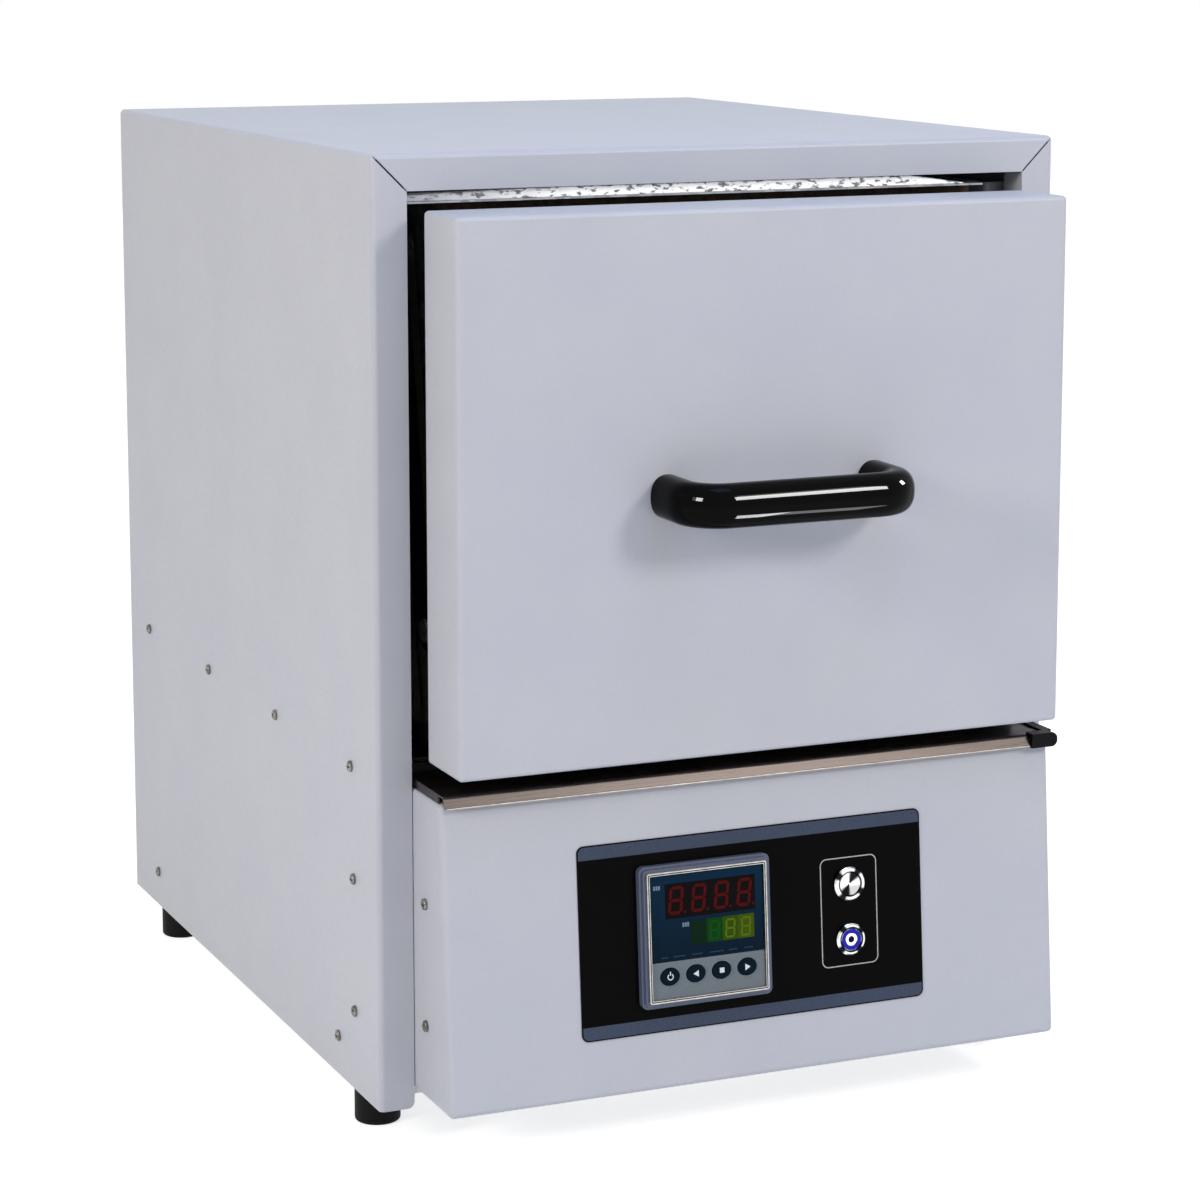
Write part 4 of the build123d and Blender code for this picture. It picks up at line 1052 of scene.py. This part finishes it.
# %% [markdown]
# A black ring in the slit between each cap and its bezel is painted shade of the slit. The lower
# button carries a light: a blue translucent lens, a white lit ring in it and a dark middle. Each
# part is turned, so it is a profile of radius and height carried round the button's axis.

# %% Turned shapes and the painted shade in the slits
SLIT_SHADE_RING = np.array([(6.55, 2.55), (6.60, 2.75), (6.90, 2.82), (7.25, 2.75), (7.30, 2.55), (6.55, 2.55)]) * MM


def turned(node, profile, steps=64):
    """Surface of revolution on the face: profile rows of (radius, out) round a node's middle."""
    angle = full_turn(steps)
    centre = face_centre(node)
    profile = np.array(profile)
    right = centre[0] + profile[:, :1] * np.cos(angle)
    up = centre[1] + profile[:, :1] * np.sin(angle)
    out = np.broadcast_to(profile[:, 1:], right.shape)
    return on_face(np.stack([right, up, out], axis=-1))


def crowned(inner, outer, low, crown, rows=9):
    """Profile of a ring whose top is a low arch, or of a domed disc if inner is 0.

    The height is the crown times the root of one minus the square of the distance from the top of
    the arch: a ring's is over the middle of its width, and a disc's over its centre.
    """
    across = np.linspace(0, 1, rows)
    from_top = 2 * across - 1 if inner > 0 else across
    radius = inner + (outer - inner) * across
    height = low + INK + crown * np.sqrt(1 - from_top ** 2)
    return [(inner, low), *np.column_stack([radius, height]), (outer, low), (inner, low)]


# painted shade: the slits round the caps drawn as black rings
print_ink("slit_shade_black", "#08080a", 0.40)
for button in ("power", "start"):
    build(f"{button}_slit_shade", [turned(f"{button}_button_bezel", SLIT_SHADE_RING)], "slit_shade_black")

# %% Lens, lit ring and middle of the lower button
CAP_SUNK = 0.25 * MM            # how deep the light's parts lie in the cap

print_ink("blue_lens", "#2529a0", 0.12, glow=0.30)
print_ink("lit_ring", "#f2f4ff", 0.30, glow=0.9)
print_ink("dark_middle", "#0b0d2a", 0.15)
cap_top = proud("start_button_cap") - CAP_SUNK
LIGHT_PARTS = (                 # piece, finish, inner and outer radius, height of its arch in mm
    ("start_lens", "blue_lens", 3.5, 6.3, 0.35),
    ("start_lit_ring", "lit_ring", 1.9, 3.45, 0.40),
    ("start_middle", "dark_middle", 0.0, 1.85, 0.20),
)
for piece, finish, inner, outer, crown in LIGHT_PARTS:
    profile = crowned(inner * MM, outer * MM, cap_top, crown * MM)
    build(piece, [turned("start_button_cap", profile)], finish, "start_button")

# %% [markdown]
# ## Floor, world and lamps
# The furnace stands on a white table in a bright studio. A pale world lights it from all sides, a
# soft lamp in front on the right gives the handle its shadow, one on the left opens up the side,
# and a bluish one overhead cools the top. The floor's own white is added only where the camera or a
# mirror-like surface looks at it, so the background is white and the shadow stays.

# %% Floor and world
FLOOR_SIZE = 12.0
FLOOR_LIFT = 0.70               # white added to the floor as it is seen
FLECK = 3 * MM
WORLD_LIGHT = 0.45


def seen_directly(tree):
    """1 for camera, glossy and transmission rays, 0 for the rays that light the furnace."""
    rays = add(tree, "ShaderNodeLightPath").outputs
    either = work_out(tree, "MAXIMUM", rays["Is Camera Ray"], rays["Is Glossy Ray"])
    return work_out(tree, "MAXIMUM", either, rays["Is Transmission Ray"])


def white_table():
    """Matt white laminate, with its brightness lifted where it is looked at."""
    tree, shader, place = new_material(
        "white_table", "#ececec", 0.0, 0.9, IOR=1.45, Specular_IOR_Level=0.1, Emission_Color=(1, 1, 1, 1))
    fleck = blend(tree, grain(tree, place, FLECK), "#ebebeb", "#ededed")
    lift = work_out(tree, "MULTIPLY", seen_directly(tree), FLOOR_LIFT)
    feed(tree, shader, Base_Color=fleck, Emission_Strength=lift)


white_table()
half = FLOOR_SIZE / 2
square_corners = [(-half, -half, 0), (half, -half, 0), (half, half, 0), (-half, half, 0)]
floor_mesh = bpy.data.meshes.new("floor")
floor_mesh.from_pydata(square_corners, [], [(0, 1, 2, 3)])
floor = bpy.data.objects.new("floor", floor_mesh)
bpy.context.collection.objects.link(floor)
floor.data.materials.append(FINISHES["white_table"])

world = bpy.data.worlds.new("studio")
bpy.context.scene.world = world
world.use_nodes = True
sky = world.node_tree
background = sky.nodes["Background"]
background.inputs["Color"].default_value = (1, 1, 1, 1)
sky.links.new(carry(sky, seen_directly(sky), 0, 1, WORLD_LIGHT, 1.0), background.inputs["Strength"])
print("floor", FLOOR_SIZE, "m, world", WORLD_LIGHT)

# %% Lamps
HANDLE_POINT = Vector((0.0, -0.31, 0.36))


def softbox(name, azimuth, elevation, distance, width, height, watts, tint, only=None):
    """Rectangular lamp round the handle: azimuth from straight in front, positive to the right."""
    data = bpy.data.lights.new(name, "AREA")
    data.color = linear(tint)[:3]
    data.shape = "RECTANGLE"
    data.size, data.size_y, data.energy = width, height, watts
    lamp = bpy.data.objects.new(name, data)
    turn, lift = math.radians(azimuth), math.radians(elevation)
    way = Vector((math.sin(turn) * math.cos(lift), -math.cos(turn) * math.cos(lift), math.sin(lift)))
    lamp.location = HANDLE_POINT + way * distance
    lamp.rotation_euler = way.to_track_quat("Z", "Y").to_euler()
    bpy.context.collection.objects.link(lamp)
    if only is not None:
        lit = bpy.data.collections.new(name + "_lit")
        lit.objects.link(only)
        lamp.light_linking.receiver_collection = lit
    print(name, "at", [round(x, 2) for x in lamp.location])


softbox("key", 30, 29, 2.2, 0.45, 0.45, 16.5, "#fffdfb")
softbox("fill", -74, 20, 2.4, 0.50, 0.60, 19.5, "#fffaf0")
softbox("top", 10, 80, 2.0, 0.90, 0.90, 14, "#95c1ff")

# %% [markdown]
# A polished black handle is nothing but reflections, and a studio sets small cards for it alone.
# Five lamps are linked to the handle only: one draws the long upper line, two the shorter line
# under it with its soft edge, and two leave a spot on each elbow. They are strong because the gloss
# has a low specular level. One more reaches only the fibre blanket, which would lie dark in its gap.

# %% Lamps for the handle and the blanket alone
softbox("upper_line", 27, 22.5, 2.2, 0.62, 0.52, 250, "#ffffff", bow)
softbox("lower_line", 24, -38, 0.52, 0.07, 0.12, 4.8, "#ffffff", bow)
softbox("lower_glow", 34.3, -35.3, 0.554, 0.12, 0.10, 1.6, "#ffffff", bow)
softbox("left_spot", -64, 20, 2.4, 0.60, 0.60, 280, "#f4f6ff", bow)
softbox("right_spot", 82, 22, 2.0, 0.35, 0.50, 140, "#ffffff", bow)
softbox("gap_light", 18, 15, 1.6, 0.40, 0.20, 14, "#ffffff", blanket)

# %% [markdown]
# ## View transform
# The dressed furnace must stay inside the construction's own box. Colours are shown through the Standard view
# transform.

# %% View transform
bpy.context.scene.view_settings.view_transform = "Standard"
